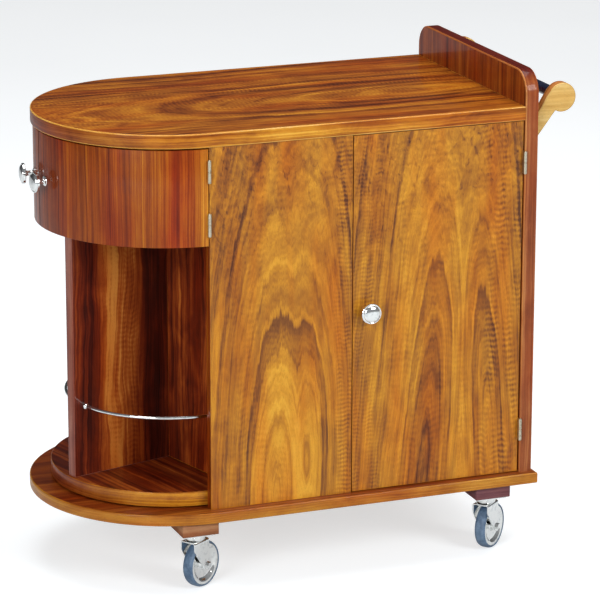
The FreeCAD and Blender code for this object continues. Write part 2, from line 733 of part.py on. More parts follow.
def build_walls():
    """Full-width divider and the two wings that make four bays with it."""
    tall, half = f"{WALL_TOP} - {DISC_TOP}", "wall_thickness / 2"
    reach = number(WALL_REACH)
    divider = local_box("divider_blank", (f"-{WALL_REACH}", WALL_REACH), (f"-{half}", half), ("0", tall))
    divider = eased("divider_eased", divider, "panel_ease",
                    lambda edge: upright(edge) and abs(abs(edge.BoundBox.XMin) - reach) < TOUCH)
    socket = local_rod("divider_socket", "pivot_diameter / 2 + running_gap",
                       ("0", "0", f"{tall} - pivot_in_wall"), "pivot_in_wall")
    on_carousel(cut("divider_bored", divider, socket), "divider", DISC_TOP)
    for side, (near, far), end in (("front", (f"-{WALL_REACH}", f"-{half}"), -reach),
                                   ("back", (half, WALL_REACH), reach)):
        wing = local_box(f"{side}_wing_blank", (f"-{half}", half), (near, far), ("0", tall))
        wing = eased(f"{side}_wing_eased", wing, "panel_ease",
                     lambda edge, end=end: upright(edge) and lies_at(edge, "y", end))
        on_carousel(wing, f"{side}_wing", DISC_TOP)


def build_rails():
    """Four arc rails, one across each bay, with a flange at each end."""
    half = "(wall_thickness / 2)"
    span = f"sqrt({RAIL_CIRCLE} * {RAIL_CIRCLE} - {half} * {half})"
    start = f"asin(({half} + flange_thickness / 2) / {RAIL_CIRCLE})"
    for i, bay in enumerate(("inner", "back", "left", "front")):
        name = f"{bay}_gallery_rail"
        arc = DOC.addObject("Part::Torus", f"{name}_arc")
        bind(arc, Radius1=RAIL_CIRCLE, Radius2="rail_diameter / 2", Angle3=f"90 deg - 2 * {start}")
        arc.Angle1, arc.Angle2 = -180, 180
        arc.setExpression("Placement.Rotation.Angle", cells(start))
        on_x_wall = local_rod(f"{name}_flange_a", "flange_diameter / 2", (span, half, "0"),
                              "flange_thickness", "y")
        on_y_wall = local_rod(f"{name}_flange_b", "flange_diameter / 2", (half, span, "0"),
                              "flange_thickness", "x")
        on_carousel(join(f"{name}_whole", arc, on_x_wall, on_y_wall), name,
                    f"{DISC_TOP} + rail_height", str(90 * i))


def build_pivots():
    """Spindle, thrust washer and top bush on the cabinet; top pin on the carousel."""
    piece(rod("spindle", "spindle_diameter / 2", ("0", "0", f"{BASE_TOP} - spindle_in_base"),
              "spindle_in_base + turntable_lift + spindle_in_disc - seat_gap"), "turntable_spindle")
    ring = rod("washer_blank", "washer_diameter / 2", ("0", "0", BASE_TOP), "turntable_lift - seat_gap")
    hole = rod("washer_hole", "spindle_diameter / 2 + running_gap", ("0", "0", BASE_TOP), "turntable_lift")
    piece(cut("washer_bored", ring, hole), "thrust_washer")
    bush = rod("bush_blank", "bush_diameter / 2", ("0", "0", DRUM_BOTTOM), "bush_height")
    bore = rod("bush_bore", "pivot_diameter / 2 + running_gap", ("0", "0", DRUM_BOTTOM),
               "bush_height - bush_cap")
    piece(cut("bush_bored", bush, bore), "top_pivot_bush")
    pin = local_rod("top_pin", "pivot_diameter / 2", ("0", "0", "0"),
                    "pivot_in_wall + wall_top_gap + bush_height - bush_cap - pin_end_gap")
    on_carousel(pin, "top_pivot_pin", f"{WALL_TOP} - pivot_in_wall")


# --- handle ---------------------------------------------------------------------------

def on_side(edge, half):
    """True for an edge that lies on either side face of an arm."""
    return lies_at(edge, "y", half) or lies_at(edge, "y", -half)


def build_handle():
    """Two arms on the end panel, the bar between their round heads, and the screws."""
    head_x, head_z = "arm_reach", "arm_head_rise"
    outline = [
        ("0", "-arm_root_low"), (f"{head_x} - arm_heel_back", f"{head_z} - arm_heel_drop"), (head_x, head_z),
        (f"{head_x} - arm_neck_back", f"{head_z} + arm_neck_rise"), ("0", "-arm_root_high"),
    ]
    half = number("arm_thickness") / 2
    for side, sign in (("front", "-"), ("back", "")):
        name = f"{side}_arm"
        neck = DOC.addObject("PartDesign::Body", f"{name}_neck")
        padded(neck, polygon_sketch(neck, f"{name}_outline", "XZ_Plane", outline), "arm_thickness", True)
        body_ease(neck, f"{name}_neck_edges", "arm_ease", lambda edge: on_side(edge, half))
        head = local_rod(f"{name}_head", "arm_head", (head_x, "-arm_thickness / 2", head_z),
                         "arm_thickness", "y")
        head = eased(f"{name}_head_eased", head, "arm_ease", lambda edge: on_side(edge, half))
        shape = join(f"{name}_blank", neck, head)
        start = "arm_thickness / 2 - bar_tenon" if side == "front" else "-arm_thickness / 2"
        tools = [local_rod(f"{name}_bore", "bar_diameter / 2 + running_gap", (head_x, start, head_z),
                           "bar_tenon", "y")]
        for level in ("screw_high", "screw_low"):
            tools.append(local_rod(f"{name}_{level}", "screw_diameter / 2 + running_gap",
                                   ("0", "0", f"-{level}"), "screw_in_arm + screw_end_gap", "x"))
        arm = cut(f"{name}_bored", shape, *tools)
        at(arm, END_OUTER, f"{sign}{ARM_SPREAD}", TOP_SURFACE)
        piece(arm, f"{side}_handle_arm")
    inner = f"({ARM_SPREAD} - arm_thickness / 2 + bar_tenon - seat_gap)"
    bar_end = (f"{END_OUTER} + arm_reach", f"-{inner}", f"{TOP_SURFACE} + arm_head_rise")
    piece(rod("bar", "bar_diameter / 2", bar_end, f"2 * {inner}", "y"), "handle_bar")
    screws = []
    for name, y, z in handle_screw_points():
        shank = rod(f"screw_shank_{name}", "screw_diameter / 2", ("top_length", y, z),
                    "end_thickness + screw_in_arm", "x")
        head = rod(f"screw_head_{name}", "screw_head / 2", ("top_length", y, z), "screw_head_thickness", "x")
        screws.append(join(f"screw_{name}", shank, head))
    piece(group("screws", *screws), "handle_screws")


# --- casters --------------------------------------------------------------------------

def plate_screw_points():
    """Middle of each plate screw about the swivel axis."""
    for i, (sx, sy) in enumerate((("-", "-"), ("", "-"), ("-", ""), ("", ""))):
        yield i, f"{sx}plate_screw_spacing / 2", f"{sy}plate_screw_spacing / 2"


def build_caster_mounts():
    """Wooden blocks, plates with race and kingpin, and their screws, at the four corners."""
    blocks, plates, screws = [], [], []
    plate_low = "(caster_height - plate_thickness)"
    for corner, (x, y, _) in CORNERS.items():
        half = "block_size / 2"
        block = box(f"{corner}_block_blank", (f"{x} - {half}", f"{x} + {half}"),
                    (f"{y} - {half}", f"{y} + {half}"), ("caster_height", BASE_BOTTOM))
        block = eased(f"{corner}_block_eased", block, "board_ease", upright)
        bores = [rod(f"{corner}_block_bore_{i}", "plate_screw / 2 + running_gap",
                     (f"{x} + {dx}", f"{y} + {dy}", "caster_height"), "plate_screw_length - plate_thickness")
                 for i, dx, dy in plate_screw_points()]
        blocks.append(cut(f"{corner}_block", block, *bores))
        plates.append(caster_plate(corner, x, y, plate_low))
        for i, dx, dy in plate_screw_points():
            place = (f"{x} + {dx}", f"{y} + {dy}")
            shank = rod(f"{corner}_shank_{i}", "plate_screw / 2", (*place, plate_low),
                        "plate_screw_length - screw_end_gap")
            head = rod(f"{corner}_head_{i}", "plate_screw_head / 2",
                       (*place, f"{plate_low} - plate_screw_head_thickness"), "plate_screw_head_thickness")
            screws.append(join(f"{corner}_screw_{i}", shank, head))
    piece(group("blocks", *blocks), "caster_blocks")
    piece(group("plates", *plates), "caster_plates")
    piece(group("plate_screws", *screws), "caster_screws")


def caster_plate(corner, x, y, plate_low):
    """Square plate with the fixed race and the kingpin that holds the fork."""
    half = "plate_size / 2"
    plate = box(f"{corner}_plate_blank", (f"{x} - {half}", f"{x} + {half}"),
                (f"{y} - {half}", f"{y} + {half}"), (plate_low, "caster_height"))
    race = rod(f"{corner}_race", "race_diameter / 2", (x, y, f"{plate_low} - race_height"), "race_height")
    head_low = f"({CROWN_TOP} - fork_metal - seat_gap - kingpin_head_thickness)"
    pin = rod(f"{corner}_kingpin", "kingpin_diameter / 2", (x, y, head_low), f"{plate_low} - {head_low}")
    head = rod(f"{corner}_kingpin_head", "kingpin_head / 2", (x, y, head_low), "kingpin_head_thickness")
    bores = [rod(f"{corner}_plate_bore_{i}", "plate_screw / 2 + running_gap",
                 (f"{x} + {dx}", f"{y} + {dy}", plate_low), "plate_thickness")
             for i, dx, dy in plate_screw_points()]
    return cut(f"{corner}_plate", join(f"{corner}_plate_joined", plate, race, pin, head), *bores)


def build_caster(corner):
    """Fork and axle that swivel, and the wheel and tyre that roll."""
    x, y, turn = CORNERS[corner]
    axle_z, half = "(wheel_diameter / 2)", "(fork_length / 2)"
    outline = [
        (f"-{half}", CROWN_TOP), (f"-{half}", f"{CROWN_TOP} - fork_shoulder"),
        ("trail - fork_lead", f"{axle_z} - fork_lead_drop"),
        ("trail + fork_follow", f"{axle_z} - fork_follow_drop"),
        (half, f"{CROWN_TOP} - fork_shoulder"), (half, CROWN_TOP),
    ]
    body = DOC.addObject("PartDesign::Body", f"{corner}_fork_blank")
    padded(body, polygon_sketch(body, f"{corner}_fork_outline", "XZ_Plane", outline), "fork_width", True)
    tip = local_rod(f"{corner}_fork_tip", "fork_tip", ("trail", "-fork_width / 2", axle_z), "fork_width", "y")
    crown = number(CROWN_TOP)
    bent = eased(f"{corner}_fork_eased", join(f"{corner}_fork_joined", body, tip), "fork_ease",
                 lambda edge: lies_at(edge, "z", crown))
    inside = "(fork_width / 2 - fork_metal)"
    slot = local_box(f"{corner}_fork_slot", (f"-{half} - overrun", f"{half} + fork_tip + overrun"),
                     (f"-{inside}", inside), ("0", f"{CROWN_TOP} - fork_metal"))
    king_hole = local_rod(f"{corner}_king_hole", "kingpin_diameter / 2 + running_gap",
                          ("0", "0", f"{CROWN_TOP} - 2 * fork_metal"), "3 * fork_metal")
    axle_hole = local_rod(f"{corner}_axle_hole", "axle_diameter / 2 + running_gap",
                          ("trail", "-fork_width / 2 - overrun", axle_z), "fork_width + 2 * overrun", "y")
    fork = cut(f"{corner}_fork_cut", bent, slot, king_hole, axle_hole)
    piece(stand(fork, x, y, "0", turn), f"{corner}_fork")

    shank = local_rod(f"{corner}_axle_shank", "axle_diameter / 2", ("0", "0", "0"),
                      "fork_width + 2 * axle_head_thickness")
    heads = []
    for end, z in (("head", "0"), ("nut", "fork_width + axle_head_thickness")):
        hexagon = DOC.addObject("Part::Prism", f"{corner}_axle_{end}")
        hexagon.Polygon = 6
        bind(hexagon, Circumradius="axle_head / 2", Height="axle_head_thickness")
        hexagon.setExpression("Placement.Base.z", cells(z))
        heads.append(hexagon)
    axle = join(f"{corner}_axle_joined", shank, *heads)
    from_front = [("trail", "-fork_width / 2 - axle_head_thickness", axle_z, LEVEL_X, "-90")]
    piece(stand(axle, x, y, "0", turn, from_front), f"{corner}_axle")

    in_middle = [("trail", "0", axle_z, LEVEL_X, "-90")]
    wheel = cut(f"{corner}_wheel_bored", spun(f"{corner}_wheel_turned", wheel_profile()),
                local_rod(f"{corner}_wheel_bore", "axle_diameter / 2 + running_gap",
                          ("0", "0", "-hub_width / 2"), "hub_width"))
    piece(stand(wheel, x, y, "0", turn, in_middle), f"{corner}_wheel")
    tyre = spun(f"{corner}_tyre_turned", tyre_profile())
    piece(stand(tyre, x, y, "0", turn, in_middle), f"{corner}_tyre")


def wheel_profile():
    """Half section of a wheel: hub, dished covers and the channel for the tyre."""
    upper = [
        ("hub_diameter / 2 - hub_bevel", "hub_width / 2"), ("hub_diameter / 2", "hub_width / 2 - hub_bevel"),
        ("hub_diameter / 2 + hub_fillet / 4", "dish_floor / 2 + hub_bevel"),
        ("hub_diameter / 2 + hub_fillet", "dish_floor / 2"),
        ("dish_radius - dish_rise", "dish_floor / 2 + dish_rise"),
        ("dish_radius + dish_slope", "cover_width / 2"), ("wheel_cover / 2 - cover_bevel", "cover_width / 2"),
        ("wheel_cover / 2", "cover_width / 2 - cover_bevel"), ("wheel_cover / 2", "channel_width / 2"),
        ("wheel_channel / 2", "channel_width / 2"),
    ]
    lower = [(r, f"-({z})") for r, z in reversed(upper)]
    return [("0", "hub_width / 2"), *upper, *lower, ("0", "-hub_width / 2")]


def tyre_profile():
    """Half section of a tyre: a bead in the channel and a crowned tread outside it."""
    upper = [
        ("wheel_channel / 2 + tyre_fit", "channel_width / 2 - tyre_fit"),
        ("wheel_cover / 2 + tyre_fit", "channel_width / 2 - tyre_fit"),
        ("wheel_cover / 2 + tyre_fit", "tyre_width / 2 - tyre_bevel"),
        ("wheel_cover / 2 + tyre_bevel", "tyre_width / 2"),
        ("wheel_diameter / 2 - tyre_shoulder", "tyre_width / 2 - tyre_bevel"),
        ("wheel_diameter / 2 - tyre_bevel", "tyre_tread / 2 + tyre_shoulder"),
        ("wheel_diameter / 2", "tyre_tread / 2"),
    ]
    return upper + [(r, f"-({z})") for r, z in reversed(upper)]


# --- whole trolley --------------------------------------------------------------------

def centre_over_origin():
    """Slide the trolley so that the middle of its outline stands over the origin."""
    outline = FreeCAD.BoundBox()
    for feature in PIECES:
        outline.add(feature.Shape.optimalBoundingBox(False, False))
    for row, middle in ((len(SIZES) + 1, outline.Center.x), (len(SIZES) + 2, outline.Center.y)):
        SHEET.set(f"B{row}", str(round(middle, 3)))
    DOC.recompute()


def check_features():
    """Stop if a feature failed or a finished piece isn't a sound shape."""
    for feature in DOC.Objects:
        if {"Invalid", "Error"} & set(feature.State):
            raise RuntimeError(f"{feature.Name} failed: {feature.State}")
        if feature.isDerivedFrom("Part::Feature") and not feature.Shape.isValid():
            raise RuntimeError(f"{feature.Name} isn't a sound shape")
    for feature in PIECES:
        if feature.Shape.isNull() or not feature.Shape.isValid() or not feature.Shape.Solids:
            raise RuntimeError(f"{feature.Label} isn't a sound solid")


def export_pieces():
    """Write one file for each piece."""
    os.makedirs("parts", exist_ok=True)
    for feature in PIECES:
        feature.Shape.exportStep(os.path.join("parts", feature.Label + ".step"))


fill_sheet()
build_base_board()
build_top_board()
build_end_panel()
build_fixed_panels()
build_shelf()
build_drum_floor()
build_drum_door("front", "-")
build_drum_door("back", "")
build_cupboard_door()
build_hinges()
build_knobs()
build_catches()
build_turntable()
build_walls()
build_rails()
build_pivots()
build_handle()
build_caster_mounts()
for corner_name in CORNERS:
    build_caster(corner_name)
DOC.recompute()
centre_over_origin()
check_features()
export_pieces()
print(len(PIECES), "pieces; middle", SHEET.get("middle_x"), SHEET.get("middle_y"))
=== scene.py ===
"""Looks of a round-ended walnut hostess trolley: every board, fitting, rail and caster.

Lengths are metres: +X from the round end to the handle, +Y to the back, +Z up. POLE is the small radius
that closes a turned form at its own axis; the profiles in millimetres write it as 0.05.
"""
import json
import logging
import math
from dataclasses import dataclass, field, replace
from enum import Enum
from typing import Callable, Optional, Sequence

import bmesh
import bpy
from mathutils import Matrix, Vector


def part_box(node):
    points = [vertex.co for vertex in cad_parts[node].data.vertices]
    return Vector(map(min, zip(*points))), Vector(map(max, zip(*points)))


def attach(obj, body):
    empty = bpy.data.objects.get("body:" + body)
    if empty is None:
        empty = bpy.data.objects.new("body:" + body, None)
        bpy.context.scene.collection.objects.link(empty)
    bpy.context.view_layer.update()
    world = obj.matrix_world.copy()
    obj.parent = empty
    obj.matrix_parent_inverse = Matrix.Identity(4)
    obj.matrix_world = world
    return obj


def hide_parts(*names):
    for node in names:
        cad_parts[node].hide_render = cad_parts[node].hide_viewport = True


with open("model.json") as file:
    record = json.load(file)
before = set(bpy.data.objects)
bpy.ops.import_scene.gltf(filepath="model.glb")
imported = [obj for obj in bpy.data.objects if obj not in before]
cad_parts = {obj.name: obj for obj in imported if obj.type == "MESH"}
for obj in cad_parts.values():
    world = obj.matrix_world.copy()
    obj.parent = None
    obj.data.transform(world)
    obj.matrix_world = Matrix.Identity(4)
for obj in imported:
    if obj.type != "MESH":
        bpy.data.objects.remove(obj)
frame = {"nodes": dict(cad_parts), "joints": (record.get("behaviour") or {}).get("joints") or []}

LOG = logging.getLogger("hostess_trolley")
MM = 0.001
POLE = 0.05 * MM
WHITE = (1.0, 1.0, 1.0)
UV_NAME = "grain"
WELD = 0.001 * MM
MARGIN = 0.6 * MM
SHARPEST_MITRE = 0.35
SMOOTH_ANGLE = math.radians(32)
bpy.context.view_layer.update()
UP = Vector((0, 0, 1))

Point2 = tuple[float, float]
Point3 = tuple[float, float, float]
Profile = tuple[Point2, ...]
Colour = tuple[float, float, float]
Grain = Callable[[int, int, Vector, int], Point2]


# --- colours and shader graphs ---

def srgb(code: str) -> Colour:
    """Turn a written screen colour into linear light.

    Args:
        code: six hexadecimal digits.

    Returns:
        Red, green and blue in linear light.
    """
    def linear(value: float) -> float:
        """One channel from screen value to linear light."""
        return value / 12.92 if value <= 0.04045 else ((value + 0.055) / 1.055) ** 2.4
    return tuple(linear(int(code[i:i + 2], 16) / 255) for i in (0, 2, 4))


class Graph:
    """A small writer of shader node graphs."""

    def __init__(self, name: str, world: bool = False) -> None:
        """Start an empty graph.

        Args:
            name: name of the material or the world.
            world: whether it is a world.
        """
        self.owner = (bpy.data.worlds if world else bpy.data.materials).new(name)
        self.output = "OutputWorld" if world else "OutputMaterial"
        self.owner.use_nodes = True
        self.tree = self.owner.node_tree
        self.tree.nodes.clear()

    def node(self, kind: str, **settings: object) -> bpy.types.Node:
        """Add a node.

        Args:
            kind: the node's type without its ShaderNode prefix.
            **settings: properties to set on it.

        Returns:
            The new node.
        """
        made = self.tree.nodes.new("ShaderNode" + kind)
        for key, value in settings.items():
            setattr(made, key, value)
        return made

    def feed(self, socket: bpy.types.NodeSocket, value: object) -> None:
        """Link a socket, or set it if the value is a constant."""
        if isinstance(value, bpy.types.NodeSocket):
            self.tree.links.new(value, socket)
        else:
            socket.default_value = value

    def math(self, operation: str, *values: object) -> bpy.types.NodeSocket:
        """Work out one number.

        Args:
            operation: the Math node's operation.
            *values: sockets or constants.

        Returns:
            The result's socket.
        """
        made = self.node("Math", operation=operation)
        for socket, value in zip(made.inputs, values):
            self.feed(socket, value)
        return made.outputs[0]

    def total(self, *terms: object) -> bpy.types.NodeSocket:
        """Add up any number of sockets or constants."""
        result = terms[0]
        for term in terms[1:]:
            result = self.math("ADD", result, term)
        return result

    def vector(self, x: object, y: object, z: object = 0.0) -> bpy.types.NodeSocket:
        """Make a vector of three sockets or constants."""
        made = self.node("CombineXYZ")
        for socket, value in zip(made.inputs, (x, y, z)):
            self.feed(socket, value)
        return made.outputs[0]

    def noise(self, place: object, scale: float = 1.0, detail: float = 2.0, rough: float = 0.5,
              swirl: float = 0.0) -> bpy.types.NodeSocket:
        """Add noise that is centred on 0.5.

        Args:
            place: where to read the noise.
            scale: cycles in one unit of place.
            detail: octaves.
            rough: how much the finer octaves count.
            swirl: how far the noise bends itself.

        Returns:
            The noise's socket.
        """
        made = self.node("TexNoise", noise_dimensions="3D")
        settings = {"Vector": place, "Scale": scale, "Detail": detail, "Roughness": rough,
                    "Distortion": swirl}
        for name, value in settings.items():
            self.feed(made.inputs[name], value)
        return made.outputs[0]

    def spread(self, value: object, low: float, high: float, to_low: float = 0.0,
               to_high: float = 1.0) -> bpy.types.NodeSocket:
        """Map one range of numbers to another, with the ends held."""
        made = self.node("MapRange", clamp=True)
        for socket, number in zip(made.inputs, (value, low, high, to_low, to_high)):
            self.feed(socket, number)
        return made.outputs[0]

    def ramp(self, value: object, stops: Sequence[tuple[float, Colour]]) -> bpy.types.NodeSocket:
        """Colour a number.

        Args:
            value: a socket between 0 and 1.
            stops: places and their colours, at least two.

        Returns:
            The colour's socket.
        """
        made = self.node("ValToRGB")
        band = made.color_ramp
        while len(band.elements) < len(stops):
            band.elements.new(0.5)
        for element, (place, colour) in zip(band.elements, stops):
            element.position = place
            element.color = (*colour, 1.0)
        self.feed(made.inputs[0], value)
        return made.outputs[0]

    def mix(self, amount: object, first: object, second: object,
            blend: str = "MIX") -> bpy.types.NodeSocket:
        """Blend two colours.

        Args:
            amount: how much of the second.
            first: the colour underneath.
            second: the colour on top.
            blend: the kind of blend.

        Returns:
            The blended colour's socket.
        """
        made = self.node("Mix", data_type="RGBA", blend_type=blend)
        for index, value in ((0, amount), (6, first), (7, second)):
            if index and not isinstance(value, bpy.types.NodeSocket):
                value = (*value, 1.0)
            self.feed(made.inputs[index], value)
        return made.outputs[2]

    def bump(self, height: object, depth: float, strength: float = 1.0) -> bpy.types.NodeSocket:
        """Turn a height into a tilted normal.

        Args:
            height: a socket between 0 and 1.
            depth: how deep the relief is, in metres.
            strength: how much of it shows.

        Returns:
            The normal's socket.
        """
        made = self.node("Bump")
        made.inputs["Strength"].default_value = strength
        made.inputs["Distance"].default_value = depth
        self.feed(made.inputs["Height"], height)
        return made.outputs[0]

    def grain_place(self) -> tuple[bpy.types.NodeSocket, bpy.types.NodeSocket]:
        """Distances along and across the grain, in metres."""
        place = self.node("UVMap", uv_map=UV_NAME)
        split = self.node("SeparateXYZ")
        self.feed(split.inputs[0], place.outputs[0])
        return split.outputs[0], split.outputs[1]

    def object_place(self) -> bpy.types.NodeSocket:
        """The point in the piece's own frame, in metres."""
        return self.node("TexCoord").outputs["Object"]

    def surface(self, **inputs: object) -> bpy.types.Material:
        """Finish the material with one surface shader.

        Args:
            **inputs: the shader's inputs, with underscores for spaces.

        Returns:
            The finished material.
        """
        shader = self.node("BsdfPrincipled")
        for name, value in inputs.items():
            socket = shader.inputs[name.replace("_", " ")]
            if isinstance(value, tuple) and len(value) == 3 and socket.type == "RGBA":
                value = (*value, 1.0)
            self.feed(socket, value)
        return self.shown(shader.outputs[0])

    def glow(self, kind: str, colour: Colour, strength: object) -> bpy.types.NodeSocket:
        """Add a shader that gives light.

        Args:
            kind: Emission or Background.
            colour: the light's colour.
            strength: a socket or a constant.

        Returns:
            The shader's socket.
        """
        made = self.node(kind)
        made.inputs["Color"].default_value = (*colour, 1.0)
        self.feed(made.inputs["Strength"], strength)
        return made.outputs[0]

    def shaders(self, kind: str, *inputs: object) -> bpy.types.NodeSocket:
        """Mix or add shaders, with the amount first where there is one."""
        made = self.node(kind)
        for socket, value in zip(made.inputs, inputs):
            self.feed(socket, value)
        return made.outputs[0]

    def shown(self, result: bpy.types.NodeSocket) -> bpy.types.ID:
        """Lead a shader to the output and give the material or the world."""
        self.feed(self.node(self.output).inputs[0], result)
        return self.owner


# --- finishes ---

@dataclass(frozen=True)
class Flame:
    """A cathedral figure, where the saw met the rings of a tapering trunk.

    Attributes:
        across: place of its middle across the grain.
        along: place of its tip along the grain.
        reach: half width of its outline where it is widest.
        taper: how fast it opens behind the tip, negative for a tip that points back.
        lean: sideways shift of the figure along the grain.
        core: how much lighter the wood is inside it, negative for darker.
        soft: how soft the core's edge is.
    """

    across: float
    along: float
    reach: float
    taper: float
    lean: float = 0.0
    core: float = 0.0
    soft: float = 4 * MM


@dataclass(frozen=True)
class Ripple:
    """Short bars of light and dark across the grain.

    Attributes:
        across: place of the band's middle across the grain.
        width: half width of the band.
        strength: contrast of the bars.
        pitch: distance from bar to bar.
    """

    across: float
    width: float
    strength: float = 0.16
    pitch: float = 9 * MM


@dataclass(frozen=True)
class Layer:
    """One layer of noise that is stretched along the grain.

    Attributes:
        along: cycles in one metre along the grain.
        across: cycles in one metre across it.
        depth: which slice of the noise it reads, so that no two layers look alike.
        detail: octaves.
        rough: how much the finer octaves count.
        low: noise that counts as nothing.
        high: noise that counts as all.
    """

    along: float
    across: float
    depth: float = 0.0
    detail: float = 2.0
    rough: float = 0.5
    low: float = 0.36
    high: float = 0.64

    def read(self, graph: Graph, along: object, across: object, swirl: float = 0.0) -> bpy.types.NodeSocket:
        """The layer's own noise, about 0.5.

        Args:
            graph: the graph to write in.
            along: distance along the grain.
            across: distance across the grain, or from the heart.
            swirl: how far the noise bends itself.

        Returns:
            The noise's socket.
        """
        place = graph.vector(graph.math("MULTIPLY", along, self.along),
                             graph.math("MULTIPLY", across, self.across), self.depth)
        return graph.noise(place, detail=self.detail, rough=self.rough, swirl=swirl)

    def shift(self, graph: Graph, along: object, across: object) -> bpy.types.NodeSocket:
        """The layer's noise about nought."""
        return graph.math("SUBTRACT", self.read(graph, along, across), 0.5)

    def tone(self, graph: Graph, along: object, across: object, swirl: float = 0.0, least: float = 0.0,
             most: float = 1.0) -> bpy.types.NodeSocket:
        """The layer's noise, spread from its low and high marks to the least and the most."""
        return graph.spread(self.read(graph, along, across, swirl), self.low, self.high, least, most)


SLOW_BENDS = Layer(2.6, 7.0, 3.1)
QUICK_BENDS = Layer(14.0, 26.0, 8.3, 3.0)
QUICK_SHARE = 0.3
TEETH = Layer(5.0, 150.0, 7.7, 4.0, 0.65)
RING_SHIFT = Layer(0.5, 16.0, 11.0)
RING_SHIFT_TURNS = 3.0
RING_SHARE = Layer(1.6, 34.0, 21.0, low=0.38, high=0.62)
RING_DEEPENING = 4.0
RING_STOP = 0.93
RIM_BREAKS = Layer(9.0, 24.0, 33.0, 3.0, high=0.62)
RIM_LEAST = 0.2
RIM_INSIDE = -1.2 * MM
RIM_PEAK = 0.4 * MM
RIM_OUTSIDE = 11 * MM
RIM_FADING = 1.6
FLAME_JOIN = 6 * MM
CROWN_SWIRLS = Layer(26.0, 36.0, 15.0, 4.0, 0.62)
CROWN_FLECKS = Layer(30.0, 64.0, 17.0, 3.0, 0.6, 0.57, 0.7)
CROWN_RISE = 0.22
FIBRES = Layer(26.0, 1300.0, 9.0, low=0.3, high=0.7)
CLOUDS = Layer(12.0, 22.0, 1.3, 4.0, 0.6, 0.34, 0.66)
STROKES = Layer(17.0, 190.0, 27.0, 3.0, 0.6, 0.38, 0.62)
MIDDLE_TONE = 0.54
BAR_BENDS = Layer(7.0, 40.0, 4.0, 3.0, 0.6)
BAR_BEND_TURNS = 16.0
BAR_PATCHES = Layer(9.0, 55.0, 6.0, 3.0, low=0.4, high=0.66)
BAR_CORE = 0.4
BLUSHES = Layer(3.0, 18.0, 13.0, 3.0, low=0.42, high=0.68)
PORES = Layer(170.0, 2100.0, 2.0, 1.0, low=0.62, high=0.72)
PORE_COLOUR = "2a1208"
PORE_SHOWS = 0.4
PORE_SINKS = 0.3
SKIN_SCALE = 210.0
SKIN_RELIEF = (0.02 * MM, 0.4)
HANDLED_SCALE = 34.0
HANDLED_SPAN = (0.3, 0.7)
HANDLED_MATT = (0.28, 0.38)
WOOD_SHINE = 0.12


